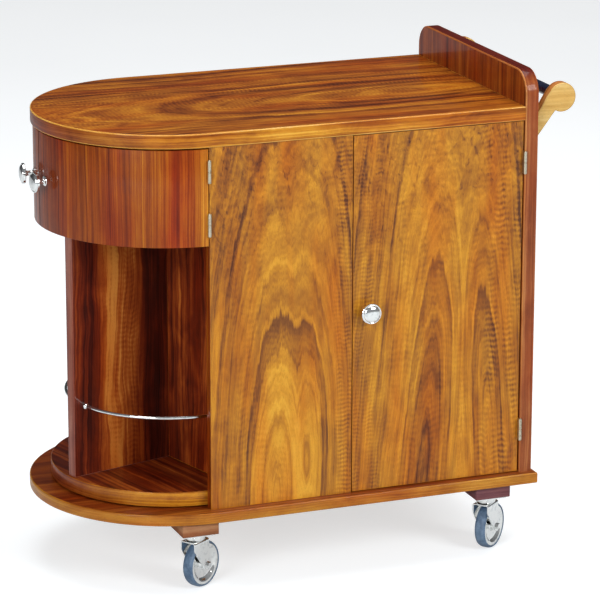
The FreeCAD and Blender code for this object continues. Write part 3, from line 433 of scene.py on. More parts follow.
@dataclass(frozen=True)
class Veneer:
    """Lacquered wood veneer.

    Attributes:
        name: the finish's name.
        stops: places and colours from the darkest streak to the lightest.
        band: broad streaks in one metre across the grain.
        line: fine lines in one metre across the grain.
        rings: growth rings in one metre from the heart.
        ring_dark: how dark the late wood of a ring is.
        drift: places across the grain and how much lighter or darker the colour is made there, from -1 to 1;
            on the drum doors and the divider this paints light and shade.
        flames: cathedral figures; without any the grain runs straight.
        ripples: bands of ripple figure.
        rim: how dark the outline of a cathedral figure is.
        strokes: contrast of the short strokes along the grain.
        crown: place along the grain where the mottled crown of the tree starts.
        mottle: how strong that mottle is.
        weights: contrast of the broad streaks, fine lines, fibres and clouds.
        wander: how far the grain strays from straight.
        ragged: length of the teeth of its feathered edges.
        swirl: how far the clouds are bent.
        flush: colour that tints patches of the wood.
        tint: colour that the edge takes where it faces a given way; the edge band uses it to paint a
            lavender sheen on its edges that face left.
        tint_facing: that way.
        tint_span: how squarely it faces that way where the tint starts and where it is full.
        gloss: roughness of the lacquer.
        coat: how much of the lacquer shows.
    """

    name: str
    stops: tuple[tuple[float, str], ...]
    band: float = 45.0
    line: float = 260.0
    rings: float = 60.0
    ring_dark: float = 0.12
    drift: tuple[tuple[float, float], ...] = ()
    flames: tuple[Flame, ...] = ()
    ripples: tuple[Ripple, ...] = ()
    rim: float = 0.0
    strokes: float = 0.0
    crown: float = 0.5
    mottle: float = 0.0
    weights: tuple[float, float, float, float] = (0.42, 0.22, 0.14, 0.22)
    wander: float = 0.018
    ragged: float = 0.02
    swirl: float = 0.6
    flush: str = "f0c4a0"
    tint: str = ""
    tint_facing: tuple[float, float, float] = (0.0, 0.0, 1.0)
    tint_span: tuple[float, float] = (0.55, 0.9)
    gloss: float = 0.05
    coat: float = 0.24

    def outline(self, graph: Graph, along: object, across: object, flame: Flame) -> bpy.types.NodeSocket:
        """Distance outside a flame's outline.

        Args:
            graph: the graph to write in.
            along: distance along the grain.
            across: distance across the grain.
            flame: the figure.

        Returns:
            The distance's socket, negative inside the outline.
        """
        rise = graph.math("SUBTRACT", along, flame.along)
        side = graph.math("SUBTRACT", graph.math("SUBTRACT", across, flame.across),
                          graph.math("MULTIPLY", rise, flame.lean))
        deep = graph.math("MULTIPLY_ADD", rise, flame.taper, flame.reach)
        squares = graph.math("ADD", graph.math("MULTIPLY", side, side), graph.math("MULTIPLY", deep, deep))
        return graph.math("SUBTRACT", graph.math("SQRT", squares), flame.reach)

    def stray(self, graph: Graph, along: object, across: object) -> bpy.types.NodeSocket:
        """How far the grain strays from straight in slow bends."""
        slow = graph.math("MULTIPLY", SLOW_BENDS.shift(graph, along, across), self.wander)
        quick = graph.math("MULTIPLY", QUICK_BENDS.shift(graph, along, across), self.wander * QUICK_SHARE)
        return graph.total(slow, quick)

    def feathered(self, graph: Graph, along: object, across: object) -> bpy.types.NodeSocket:
        """Place along the grain, drawn out into the teeth of a feathered edge."""
        return graph.math("MULTIPLY_ADD", TEETH.shift(graph, along, across), self.ragged * 2.0, along)

    def late_wood(self, graph: Graph, along: object, ring: object) -> bpy.types.NodeSocket:
        """Dark late wood: it deepens towards the end of a ring, stops short, and some rings have little."""
        uneven = graph.math("MULTIPLY", RING_SHIFT.read(graph, along, ring), RING_SHIFT_TURNS)
        phase = graph.math("FRACT", graph.math("MULTIPLY_ADD", ring, self.rings, uneven))
        deepening = graph.math("POWER", phase, RING_DEEPENING)
        share = RING_SHARE.tone(graph, along, ring)
        return graph.math("MULTIPLY", graph.math("MULTIPLY", deepening, share),
                          graph.spread(phase, RING_STOP, 1.0, 1.0, 0.0))

    def rimmed(self, graph: Graph, along: object, across: object, ring: object) -> bpy.types.NodeSocket:
        """The dark outline of a cathedral figure: sharp inside, fading outwards, uneven along its way."""
        sharp = graph.spread(ring, RIM_INSIDE, RIM_PEAK)
        fading = graph.math("POWER", graph.spread(ring, RIM_PEAK, RIM_OUTSIDE, 1.0, 0.0), RIM_FADING)
        uneven = RIM_BREAKS.tone(graph, along, across, least=RIM_LEAST)
        return graph.math("MULTIPLY", graph.math("MULTIPLY", sharp, fading),
                          graph.math("MULTIPLY", uneven, -self.rim))

    def mottled(self, graph: Graph, along: object, across: object) -> bpy.types.NodeSocket:
        """Swirling mottle and dark flecks near the crown of the tree."""
        swirls = CROWN_SWIRLS.tone(graph, along, across, self.swirl * 1.5, -0.5, 0.5)
        flecks = CROWN_FLECKS.tone(graph, along, across, self.swirl * 2.0)
        tone = graph.math("MULTIPLY", graph.math("SUBTRACT", swirls, flecks), self.mottle)
        return graph.math("MULTIPLY", tone, graph.spread(along, self.crown, self.crown + CROWN_RISE))

    def nearest_ring(self, graph: Graph, edges: Sequence[bpy.types.NodeSocket]) -> bpy.types.NodeSocket:
        """Distance from the nearest flame's outline, where neighbours melt together."""
        ring = edges[0]
        for other in edges[1:]:
            ring = graph.math("SMOOTH_MIN", ring, other, FLAME_JOIN)
        return ring

    def pattern(self, graph: Graph, along: object, across: object) -> bpy.types.NodeSocket:
        """How light the wood is, from 0 to 1.

        Args:
            graph: the graph to write in.
            along: distance along the grain.
            across: distance across the grain.

        Returns:
            The lightness's socket.
        """
        stray = self.stray(graph, along, across)
        drawn = self.feathered(graph, along, across)
        edges = [graph.math("ADD", self.outline(graph, drawn, across, flame), stray)
                 for flame in self.flames]
        ring = self.nearest_ring(graph, edges) if edges else graph.math("ADD", across, stray)
        layers = (Layer(1.1, self.band, detail=3.0, rough=0.6).tone(graph, drawn, ring),
                  Layer(2.6, self.line, 5.0, 3.0, 0.65, 0.34, 0.66).tone(graph, along, ring),
                  FIBRES.tone(graph, along, across),
                  CLOUDS.tone(graph, along, across, self.swirl))
        light = MIDDLE_TONE
        for weight, layer in zip(self.weights, layers):
            light = graph.math("MULTIPLY_ADD", graph.math("SUBTRACT", layer, 0.5), weight, light)
        light = graph.math("MULTIPLY_ADD", self.late_wood(graph, along, ring), -self.ring_dark, light)
        for edge, flame in zip(edges, self.flames):
            light = graph.math("ADD", light, graph.spread(edge, -flame.soft, 0.0, flame.core, 0.0))
        if self.strokes:
            stroke = STROKES.tone(graph, drawn, ring, least=-0.5, most=0.5)
            light = graph.math("MULTIPLY_ADD", stroke, self.strokes, light)
        if self.rim:
            light = graph.math("ADD", light, self.rimmed(graph, along, across, ring))
        if self.mottle:
            light = graph.math("ADD", light, self.mottled(graph, along, across))
        for ripple in self.ripples:
            light = graph.math("ADD", light, self.bars(graph, along, across, ripple))
        if self.drift:
            light = graph.math("ADD", light, self.drifting(graph, across))
        return light

    def drifting(self, graph: Graph, across: object) -> bpy.types.NodeSocket:
        """Lightness that changes from place to place across the board; on the drum doors and the divider it
        is painted light and shade.
        """
        first, last = self.drift[0][0], self.drift[-1][0]
        place = graph.spread(across, first, last)
        stops = [((at - first) / (last - first), (0.5 + 0.5 * tone,) * 3) for at, tone in self.drift]
        grey = graph.ramp(place, stops)
        return graph.math("MULTIPLY", graph.math("SUBTRACT", grey, 0.5), 2.0)

    def bars(self, graph: Graph, along: object, across: object, ripple: Ripple) -> bpy.types.NodeSocket:
        """Ripple figure: short, patchy bars that fade out away from the band's middle."""
        bend = graph.math("MULTIPLY", BAR_BENDS.read(graph, along, across), BAR_BEND_TURNS)
        wave = graph.math("SINE", graph.total(graph.math("MULTIPLY", along, math.tau / ripple.pitch), bend))
        away = graph.math("ABSOLUTE", graph.math("SUBTRACT", across, ripple.across))
        near = graph.spread(away, ripple.width * BAR_CORE, ripple.width, 1.0, 0.0)
        return graph.math("MULTIPLY", graph.math("MULTIPLY", wave, ripple.strength),
                          graph.math("MULTIPLY", near, BAR_PATCHES.tone(graph, along, across)))

    def tinted(self, graph: Graph, amount: object, colour: object, code: str) -> bpy.types.NodeSocket:
        """A colour that takes on a tint where the amount is high."""
        return graph.mix(amount, colour, graph.mix(1.0, colour, srgb(code), "MULTIPLY"))

    def material(self) -> bpy.types.Material:
        """The finish as a material."""
        graph = Graph(self.name)
        along, across = graph.grain_place()
        light = self.pattern(graph, along, across)
        colour = graph.ramp(light, [(place, srgb(code)) for place, code in self.stops])
        colour = self.tinted(graph, BLUSHES.tone(graph, along, across), colour, self.flush)
        # A tint by the way a face turns; the edge band uses it for a painted lavender sheen on its edges
        # that face left.
        if self.tint:
            turned = graph.node("VectorMath", operation="DOT_PRODUCT")
            graph.feed(turned.inputs[0], graph.node("NewGeometry").outputs["Normal"])
            graph.feed(turned.inputs[1], self.tint_facing)
            share = graph.spread(turned.outputs["Value"], *self.tint_span)
            colour = self.tinted(graph, share, colour, self.tint)
        pore = PORES.tone(graph, along, across)
        colour = graph.mix(graph.math("MULTIPLY", pore, PORE_SHOWS), colour, srgb(PORE_COLOUR))
        skin = graph.noise(graph.object_place(), scale=SKIN_SCALE, detail=2.0)
        relief = graph.math("SUBTRACT", skin, graph.math("MULTIPLY", pore, PORE_SINKS))
        normal = graph.bump(relief, *SKIN_RELIEF)
        handled = graph.noise(graph.object_place(), scale=HANDLED_SCALE, detail=3.0)
        matt = (self.gloss + share for share in HANDLED_MATT)
        rough = graph.spread(handled, *HANDLED_SPAN, *matt)
        return graph.surface(Base_Color=colour, Roughness=rough, Normal=normal, Coat_Normal=normal,
                             Coat_Weight=self.coat, Coat_Roughness=self.gloss,
                             Specular_IOR_Level=WOOD_SHINE)


@dataclass(frozen=True)
class Metal:
    """Plated or bare metal with faint streaks, smudges and wear.

    Attributes:
        name: the finish's name.
        colour: the metal's colour.
        dull: the colour of its dulled patches.
        rough: roughness where it is clean.
        smudged: roughness where it is handled.
        grain: streaks in one metre.
        speck_share: specks to one streak.
        worn: noise over which a patch grows dull.
        specked: noise over which a speck shows, and the least and the most of it.
        handled: noise over which clean metal turns smudged.
        relief: depth of its surface and how much of that shows.
    """

    name: str
    colour: str
    dull: str
    rough: float
    smudged: float
    grain: float = 120.0
    speck_share: float = 9
    worn: Point2 = (0.5, 0.78)
    specked: tuple[float, ...] = (0.7, 0.8, 0.0, 0.5)
    handled: Point2 = (0.35, 0.7)
    relief: Point2 = (0.01 * MM, 0.25)

    def material(self) -> bpy.types.Material:
        """The finish as a material."""
        graph = Graph(self.name)
        place = graph.object_place()
        patches = graph.noise(place, scale=self.grain, detail=4.0, rough=0.6)
        specks = graph.noise(place, scale=self.grain * self.speck_share, detail=2.0)
        colour = graph.mix(graph.spread(patches, *self.worn), srgb(self.colour), srgb(self.dull))
        colour = graph.mix(graph.spread(specks, *self.specked), colour, srgb(self.dull))
        rough = graph.spread(patches, *self.handled, self.rough, self.smudged)
        normal = graph.bump(specks, *self.relief)
        return graph.surface(Base_Color=colour, Metallic=1.0, Roughness=rough, Normal=normal)


@dataclass(frozen=True)
class Moulded:
    """Rubber, fibre or another matt mass.

    Attributes:
        name: the finish's name.
        colour: its colour.
        dusty: its colour where dust or wear lightens it.
        rough: its roughness.
        grain: specks in one metre.
        patch_share: patches to one speck.
        dusted: noise over which a patch turns dusty.
        specked: noise over which a speck shows, and the least and the most of it.
        handled: noise over which it turns rougher.
        scuffed: how much rougher.
        relief: depth of its surface and how much of that shows.
    """

    name: str
    colour: str
    dusty: str
    rough: float
    grain: float = 300.0
    patch_share: float = 0.15
    dusted: Point2 = (0.42, 0.72)
    specked: tuple[float, ...] = (0.55, 0.8, 0.0, 0.35)
    handled: Point2 = (0.3, 0.7)
    scuffed: float = 0.16
    relief: Point2 = (0.05 * MM, 0.4)

    def material(self) -> bpy.types.Material:
        """The finish as a material."""
        graph = Graph(self.name)
        place = graph.object_place()
        patches = graph.noise(place, scale=self.grain * self.patch_share, detail=4.0, rough=0.65)
        specks = graph.noise(place, scale=self.grain, detail=3.0)
        colour = graph.mix(graph.spread(patches, *self.dusted), srgb(self.colour), srgb(self.dusty))
        colour = graph.mix(graph.spread(specks, *self.specked), colour, srgb(self.dusty))
        rough = graph.spread(patches, *self.handled, self.rough, min(1.0, self.rough + self.scuffed))
        return graph.surface(Base_Color=colour, Roughness=rough, Normal=graph.bump(specks, *self.relief))


@dataclass(frozen=True)
class Lacquer:
    """Opaque gloss paint over wood.

    Attributes:
        name: the finish's name.
        colour: the paint's colour.
        worn: its colour where hands have rubbed it.
        rubbed: noise over which it shows rubbing.
        hazed: noise over which it loses its gloss, and the roughness at both ends.
        ripple: ripples in one metre.
        relief: depth of a ripple and how much of that shows.
        coat: weight of its clear coat.
        coat_rough: roughness of that coat.
    """

    name: str
    colour: str
    worn: str
    rubbed: Point2 = (0.5, 0.75)
    hazed: tuple[float, ...] = (0.35, 0.7, 0.16, 0.32)
    ripple: float = 150.0
    relief: Point2 = (0.03 * MM, 0.4)
    coat: float = 0.6
    coat_rough: float = 0.08

    def material(self) -> bpy.types.Material:
        """The finish as a material."""
        graph = Graph(self.name)
        place = graph.object_place()
        rubbed = graph.noise(place, scale=28.0, detail=5.0, rough=0.65)
        ripple = graph.noise(place, scale=self.ripple, detail=2.0)
        colour = graph.mix(graph.spread(rubbed, *self.rubbed), srgb(self.colour), srgb(self.worn))
        rough = graph.spread(rubbed, *self.hazed)
        return graph.surface(Base_Color=colour, Roughness=rough, Normal=graph.bump(ripple, *self.relief),
                             Coat_Weight=self.coat, Coat_Roughness=self.coat_rough)


class Finishes:
    """All the finishes of the trolley, made when they are first used."""

    def __init__(self) -> None:
        """Start with nothing made."""
        self.made: dict[str, bpy.types.Material] = {}

    def of(self, finish: "Veneer | Metal | Moulded | Lacquer") -> bpy.types.Material:
        """The finish's material, made once."""
        if finish.name not in self.made:
            self.made[finish.name] = finish.material()
        return self.made[finish.name]


Finish = Veneer | Metal | Moulded | Lacquer
FINISHES = Finishes()

CHROME = Metal("polished_chrome", "f0f1ef", "c2c6c8", 0.05, 0.14)
NICKEL = Metal("worn_nickel", "c8c0aa", "877c62", 0.26, 0.44, 240.0)
STEEL = Metal("plain_steel", "a7a5a0", "77736c", 0.3, 0.5, 180.0)
BRASS = Metal("turned_brass", "c39a4d", "8a6a34", 0.25, 0.4, 160.0)
TYRE_RUBBER = Moulded("slate_tyre", "465d77", "70879f", 0.42, 420.0)
WASHER_FIBRE = Moulded("washer_fibre", "4a3226", "6b4a38", 0.7, 500.0)
CATCH_SHELL = Moulded("catch_shell", "6b4a2c", "8a6640", 0.5, 260.0)
NAVY = Lacquer("navy_lacquer", "131b38", "25304f")


# --- forms ---

class Plane(Enum):
    """Plane of an outline: its two axes, then the axis that it is drawn out along."""

    XY = (0, 1, 2)
    XZ = (0, 2, 1)
    YZ = (1, 2, 0)

    def place(self, first: float, second: float, out: float) -> Vector:
        """The point with these coordinates in this plane."""
        spot = [0.0, 0.0, 0.0]
        for axis, value in zip(self.value, (first, second, out)):
            spot[axis] = value
        return Vector(spot)


class Run(Enum):
    """Which axis the grain of a flat face follows."""

    X = 0
    Y = 1
    Z = 2


@dataclass
class Piece:
    """What a made piece says about itself.

    Attributes:
        name: the piece's name.
        body: the moving body that carries it.
        slot: the name of a material slot; not used.
        replaces: the solids that it stands for.
    """

    name: str
    body: str
    slot: str
    replaces: tuple[str, ...] = ()


class Form:
    """A mesh in the making, with grain coordinates on every corner."""

    def __init__(self) -> None:
        """Start empty."""
        self.mesh = bmesh.new()
        self.uv = self.mesh.loops.layers.uv.new(UV_NAME)

    def face(self, corners: Sequence[bmesh.types.BMVert], coords: Sequence[Point2], part: int) -> None:
        """Add one face with its grain coordinates and its finish."""
        made = self.mesh.faces.new(corners)
        made.material_index = part
        made.smooth = True
        for loop, coord in zip(made.loops, coords):
            loop[self.uv].uv = coord

    def loft(self, rings: Sequence[Sequence[Vector]], grain: Grain, part: int = 0,
             cap_parts: tuple[Optional[int], Optional[int]] = (0, 0),
             cap_grain: Optional[Callable[[Vector], Point2]] = None,
             part_of: Optional[Callable[[int, int], int]] = None) -> "Form":
        """Skin a row of rings.

        Args:
            rings: equal rows of points, anticlockwise seen from the last ring.
            grain: grain coordinates for a ring's number, a point's number, the point and its row of faces.
            part: finish of the skin.
            cap_parts: finish of the first and last cap, or None to leave it open.
            cap_grain: grain coordinates on the caps.
            part_of: finish for a ring's and a point's number, in place of part.

        Returns:
            This form.
        """
        rows = [[self.mesh.verts.new(point) for point in ring] for ring in rings]
        count = len(rows[0])
        for i in range(len(rows) - 1):
            for j in range(count):
                k = (j + 1) % count
                corners = (rows[i][j], rows[i][k], rows[i + 1][k], rows[i + 1][j])
                places = ((i, j), (i, j + 1), (i + 1, j + 1), (i + 1, j))
                coords = [grain(a, b, vert.co, i) for (a, b), vert in zip(places, corners)]
                self.face(corners, coords, part_of(i, j) if part_of else part)
        on_cap = cap_grain or (lambda point: (point.x, point.y))
        for row, cap_part, turned in ((rows[0], cap_parts[0], True), (rows[-1], cap_parts[1], False)):
            if cap_part is None:
                continue
            corners = list(reversed(row)) if turned else list(row)
            self.face(corners, [on_cap(vert.co) for vert in corners], cap_part)
        return self

    def slab(self, outline: Sequence[Point2], plane: Plane, low: float, high: float, ease: float,
             run: Run, seed: float = 0.0, parts: tuple[int, int, int, int] = (0, 1, 0, 1),
             steps: int = 3, edge_run: Optional[Run] = None) -> "Form":
        """Draw an outline out into a board with rounded arrises.

        Args:
            outline: corners, anticlockwise.
            plane: the plane of the outline.
            low: where the board starts along the third axis.
            high: where it ends.
            ease: radius of the arrises.
            run: axis that the grain of the broad faces follows.
            seed: shift of the grain, so that no two boards look the same.
            parts: finishes of the low face, the edges, the high face and the arrises.
            steps: faces round each arris.
            edge_run: axis that the grain of the edges follows; without one it follows the edge.

        Returns:
            This form.
        """
        levels = [(ease + MARGIN, low)]
        for i in range(steps + 1):
            turn = math.pi / 2 * i / steps
            levels.append((ease * (1 - math.sin(turn)), low + ease * (1 - math.cos(turn))))
        levels += [(inset, low + high - level) for inset, level in reversed(levels)]
        out_axis = plane.value[2]
        cross_axis = next(axis for axis in plane.value[:2] if axis != run.value)
        rings = [[plane.place(a, b, level) for a, b in offset(outline, inset)] for inset, level in levels]
        lengths = perimeter(outline)
        last_row = len(levels) - 2

        def on_face(point: Vector) -> Point2:
            """Grain on the broad faces."""
            return point[run.value] + seed, point[cross_axis] + seed * 0.7

        def on_skin(i: int, j: int, point: Vector) -> Point2:
            """Grain on the edges and arrises; the flat margins follow the faces."""
            if edge_run is None:
                return lengths[j] + seed * 1.3, point[out_axis] + seed
            other = lengths[j] if edge_run.value == out_axis else point[out_axis]
            return point[edge_run.value] + seed * 1.3, other + seed

        def part_at(i: int, j: int) -> int:
            """Finish of each row: margin, arris, edge, arris, margin."""
            if i == 0 or i == last_row:
                return parts[0] if i == 0 else parts[2]
            return parts[1] if i == steps + 1 else parts[3]

        def grain(i: int, j: int, point: Vector, row: int) -> Point2:
            """Grain of a corner that belongs to one row of faces."""
            return on_face(point) if row in (0, last_row) else on_skin(i, j, point)

        return self.loft(rings, grain, cap_parts=(parts[0], parts[2]), cap_grain=on_face, part_of=part_at)

    def turned(self, profile: Sequence[Point2], frame_of: Matrix, around: int = 48,
               hollow: bool = False) -> "Form":
        """Turn a profile about an axis.

        Args:
            profile: radii and heights, from the first end to the last.
            frame_of: places the turned form, whose own axis is Z.
            around: faces round the axis.
            hollow: whether the profile closes on itself, as a tyre's does.

        Returns:
            This form.
        """
        profile = list(profile) + ([profile[0]] if hollow else [])
        rings = []
        for radius, height in profile:
            ring = []
            for i in range(around):
                angle = math.tau * i / around
                ring.append(frame_of @ Vector((radius * math.cos(angle), radius * math.sin(angle), height)))
            rings.append(ring)
        heights = perimeter(profile, closed=False)
        self.loft(rings, lambda i, j, point, row: (math.tau * profile[i][0] * j / around, heights[i]),
                  cap_parts=(None, None) if hollow else (0, 0))
        if hollow:
            bmesh.ops.remove_doubles(self.mesh, verts=self.mesh.verts, dist=WELD)
        return self

    def swept(self, path: Sequence[Vector], radius: float, around: int = 16) -> "Form":
        """Draw a round bar along a path in a level plane."""
        rings = []
        for i, point in enumerate(path):
            ahead = path[min(i + 1, len(path) - 1)] - path[max(i - 1, 0)]
            ahead.normalize()
            side = ahead.cross(UP).normalized()
            upward = side.cross(ahead)
            rings.append([point + radius * (math.cos(math.tau * k / around) * side
                                            + math.sin(math.tau * k / around) * upward)
                          for k in range(around)])
        length = perimeter([(point.x, point.y) for point in path], closed=False)
        return self.loft(rings, lambda i, j, point, row: (length[i], radius * math.tau * j / around))

    def moved(self, place: Matrix) -> "Form":
        """Move everything made so far."""
        bmesh.ops.transform(self.mesh, matrix=place, verts=self.mesh.verts)
        return self

    def finish(self, about: Piece, *finishes: Finish) -> bpy.types.Object:
        """Make the object, dress it and seat it on its body.

        Args:
            about: the piece's name, body, slot and the solids that it stands for.
            *finishes: one for each part number.

        Returns:
            The finished object.
        """
        bmesh.ops.recalc_face_normals(self.mesh, faces=self.mesh.faces)
        mesh = bpy.data.meshes.new(about.name)
        self.mesh.to_mesh(mesh)
        self.mesh.free()
        mesh.set_sharp_from_angle(angle=SMOOTH_ANGLE)
        for finish in finishes:
            mesh.materials.append(FINISHES.of(finish))
        made = bpy.data.objects.new(about.name, mesh)
        bpy.context.scene.collection.objects.link(made)
        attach(made, about.body)
        if about.replaces:
            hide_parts(*about.replaces)
        LOG.info("%s rides on %s", about.name, about.body)
        return made


def offset(outline: Sequence[Point2], inset: float) -> list[Point2]:
    """Move every side of an anticlockwise outline inwards.

    Args:
        outline: its corners.
        inset: how far the sides move.

    Returns:
        The new corners, one for each old one.
    """
    moved = []
    count = len(outline)
    for i in range(count):
        before = Vector(outline[i]) - Vector(outline[i - 1])
        after = Vector(outline[(i + 1) % count]) - Vector(outline[i])
        first = Vector((-before.y, before.x)).normalized()
        second = Vector((-after.y, after.x)).normalized()
        middle = (first + second).normalized()
        reach = inset / max(SHARPEST_MITRE, middle.dot(first))
        moved.append((outline[i][0] + middle.x * reach, outline[i][1] + middle.y * reach))
    return moved


def perimeter(outline: Sequence[Point2], closed: bool = True) -> list[float]:
    """Running length at each corner, and at the end of the loop if it is closed."""
    lengths = [0.0]
    points = list(outline) + ([outline[0]] if closed else [])
    for a, b in zip(points, points[1:]):
        lengths.append(lengths[-1] + math.dist(a, b))
    return lengths


def arc(middle: Point2, radius: float, start: float, end: float, steps: int) -> list[Point2]:
    """Points on an arc, with its angles in degrees."""
    angles = [math.radians(start + (end - start) * i / steps) for i in range(steps + 1)]
    return [(middle[0] + radius * math.cos(a), middle[1] + radius * math.sin(a)) for a in angles]


def rectangle(x0: float, x1: float, y0: float, y1: float) -> list[Point2]:
    """Corners of a rectangle, anticlockwise."""
    return [(x0, y0), (x1, y0), (x1, y1), (x0, y1)]


def rounded(x0: float, x1: float, y0: float, y1: float, radius: float, steps: int = 3) -> list[Point2]:
    """Outline of a rectangle with round corners, anticlockwise."""
    corners = ((x1 - radius, y0 + radius, -90), (x1 - radius, y1 - radius, 0),
               (x0 + radius, y1 - radius, 90), (x0 + radius, y0 + radius, 180))
    outline = []
    for x, y, start in corners:
        outline += arc((x, y), radius, start, start + 90, steps)
    return outline


def mm(*rows: Point2) -> Profile:
    """Rows that are written in millimetres, in metres."""
    return tuple((first * MM, second * MM) for first, second in rows)


def raised(rows: Sequence[Point2], rise: float) -> list[Point2]:
    """A profile of radii and heights, moved along its axis."""
    return [(radius, height + rise) for radius, height in rows]


def flipped(rows: Sequence[Point2]) -> list[Point2]:
    """A profile upside down, with its rows still going up."""
    return [(radius, -height) for radius, height in reversed(rows)]


def rod(radius: float, low: float, high: float) -> list[Point2]:
    """Profile of a plain rod."""
    return [(POLE, low), (radius, low), (radius, high), (POLE, high)]


def smooth(points: Sequence[Point2], steps: int = 5) -> list[Point2]:
    """A curve through every point, from the first to the last."""
    curve = []
    ends = [points[0], *points, points[-1]]
    for a, b, c, d in zip(ends, ends[1:], ends[2:], ends[3:]):
        for i in range(steps):
            t = i / steps
            curve.append(tuple(0.5 * (2 * q + (r - p) * t + (2 * p - 5 * q + 4 * r - s) * t ** 2
                                      + (3 * q - p - 3 * r + s) * t ** 3)
                               for p, q, r, s in zip(a, b, c, d)))
    curve.append(tuple(points[-1]))
    return curve


def standing(point: Vector, direction: Vector) -> Matrix:
    """Frame whose own Z runs along a direction from a point."""
    turn = direction.to_track_quat("Z", "Y").to_matrix().to_4x4()
    return Matrix.Translation(point) @ turn


def dress(node: str, finish: Finish) -> None:
    """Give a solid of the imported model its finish."""
    slots = frame["nodes"][node].data.materials
    slots.clear()
    slots.append(FINISHES.of(finish))


def joint_point(name: str) -> Vector:
    """Where a joint's axis is at rest."""
    return Vector(next(joint["pos_m"] for joint in frame["joints"] if joint["name"] == name))


def joint_axis(name: str) -> Vector:
    """Direction of a joint's axis at rest."""
    return Vector(next(joint["axis"] for joint in frame["joints"] if joint["name"] == name))


# --- woods ---

FIGURED_STOPS = ((0.0, "56301a"), (0.2, "7f4c20"), (0.4, "a26720"), (0.58, "b97b22"), (0.78, "cd8f28"),
                 (1.0, "dba234"))
BACK_VENEER = Veneer(
    "figured_back", FIGURED_STOPS, band=38.0, line=330.0, rings=52.0, ring_dark=0.3,
    weights=(0.34, 0.26, 0.11, 0.2), rim=0.2, crown=0.46, mottle=0.26, ragged=0.03, strokes=0.16,
    flush="f6d2b0", ripples=(Ripple(0.08, 0.1, 0.16),),
    flames=(Flame(-0.06, 0.5, 0.05, 0.2, core=0.12), Flame(0.22, 0.42, 0.04, 0.14, core=-0.2)))
FRONT_VENEER = replace(
    BACK_VENEER, name="figured_front", swirl=1.2, crown=0.48,
    drift=((-0.21, -0.08), (-0.16, -0.08), (-0.1, 0.04), (-0.03, 0.04), (0.0, 0.0), (0.045, -0.06)),
    flames=(Flame(-0.086, 0.42, 0.05, 0.19, 0.02, 0.14, 6 * MM),
            Flame(-0.038, 0.4, 0.028, 0.15, 0.0, 0.08)),
    ripples=(Ripple(0.03, 0.024, 0.17, 7.5 * MM), Ripple(-0.12, 0.09, 0.06, 11 * MM)))
DOOR_VENEER = replace(
    BACK_VENEER, name="figured_door", swirl=1.2, rim=0.16,
    drift=((0.045, -0.08), (0.1, 0.0), (0.14, 0.1), (0.24, 0.1), (0.28, 0.04), (0.352, -0.08)),
    flames=(Flame(0.194, 0.448, 0.034, 0.12, 0.07, -0.4, 6 * MM),
            Flame(0.288, 0.394, 0.018, 0.1, -0.05, -0.12)),
    ripples=(Ripple(0.062, 0.045, 0.12, 7 * MM), Ripple(0.318, 0.06, 0.17, 10 * MM),
             Ripple(0.18, 0.12, 0.06, 11 * MM)))
TOP_STOPS = ((0.0, "421a08"), (0.22, "6c310c"), (0.45, "975214"), (0.65, "b6701c"), (0.82, "cc8a28"),
             (1.0, "dda040"))
TOP_VENEER = Veneer(
    "top_veneer", TOP_STOPS, band=42.0, line=230.0, rings=56.0, ring_dark=0.34,
    weights=(0.44, 0.26, 0.08, 0.18), rim=0.14, wander=0.026, ragged=0.05, strokes=0.14, flush="f0c49c",
    drift=((-0.24, -0.04), (-0.15, -0.02), (-0.06, 0.06), (0.05, 0.0), (0.12, -0.1), (0.24, -0.06)),
    flames=(Flame(-0.12, -0.152, 0.022, -0.06, 0.02, -0.2, 6 * MM),
            Flame(0.055, -0.163, 0.018, -0.05, -0.04, -0.2, 6 * MM),
            Flame(-0.04, -0.354, 0.12, -0.22, 0.0, -0.05, 12 * MM)),
    ripples=(Ripple(0.0, 0.2, 0.1, 8 * MM),))
BAND_STOPS = ((0.0, "6a3209"), (0.3, "9c5a14"), (0.55, "bd791c"), (0.8, "d29229"), (1.0, "e4ac42"))
BASE_BAND = Veneer(
    "base_band", ((0.0, "64340c"), (0.3, "965a16"), (0.55, "b37621"), (0.8, "c88e34"), (1.0, "d8a64e")),
    band=120.0, line=520.0, weights=(0.2, 0.3, 0.14, 0.3), flush="e8a880")
# The lavender tint on the edges that face left is a painted sheen, a reflection painted into the colour.
EDGE_BAND = Veneer(
    "edge_band", BAND_STOPS, band=150.0, line=420.0, ring_dark=0.2, weights=(0.34, 0.4, 0.14, 0.4),
    flush="e09a6c", tint="b488d8", tint_facing=(-1.0, 0.0, 0.0), tint_span=(0.45, 1.0))
# The arrises take a lighter, rougher veneer than the faces: a painted highlight along the top's and the end
# panel's arrises.
ARRIS_HIGHLIGHT = Veneer("arris_highlight", ((0.0, "a5671f"), (0.5, "d79f45"), (1.0, "f0cf8c")), gloss=0.12)
END_ARRIS_HIGHLIGHT = Veneer("end_arris_highlight", ((0.0, "7a3a1c"), (0.5, "a8622f"), (1.0, "cf9452")), gloss=0.12)
STRIPED_STOPS = ((0.0, "380e03"), (0.3, "6a2907"), (0.55, "93450b"), (0.8, "b66c16"), (1.0, "d08e2a"))
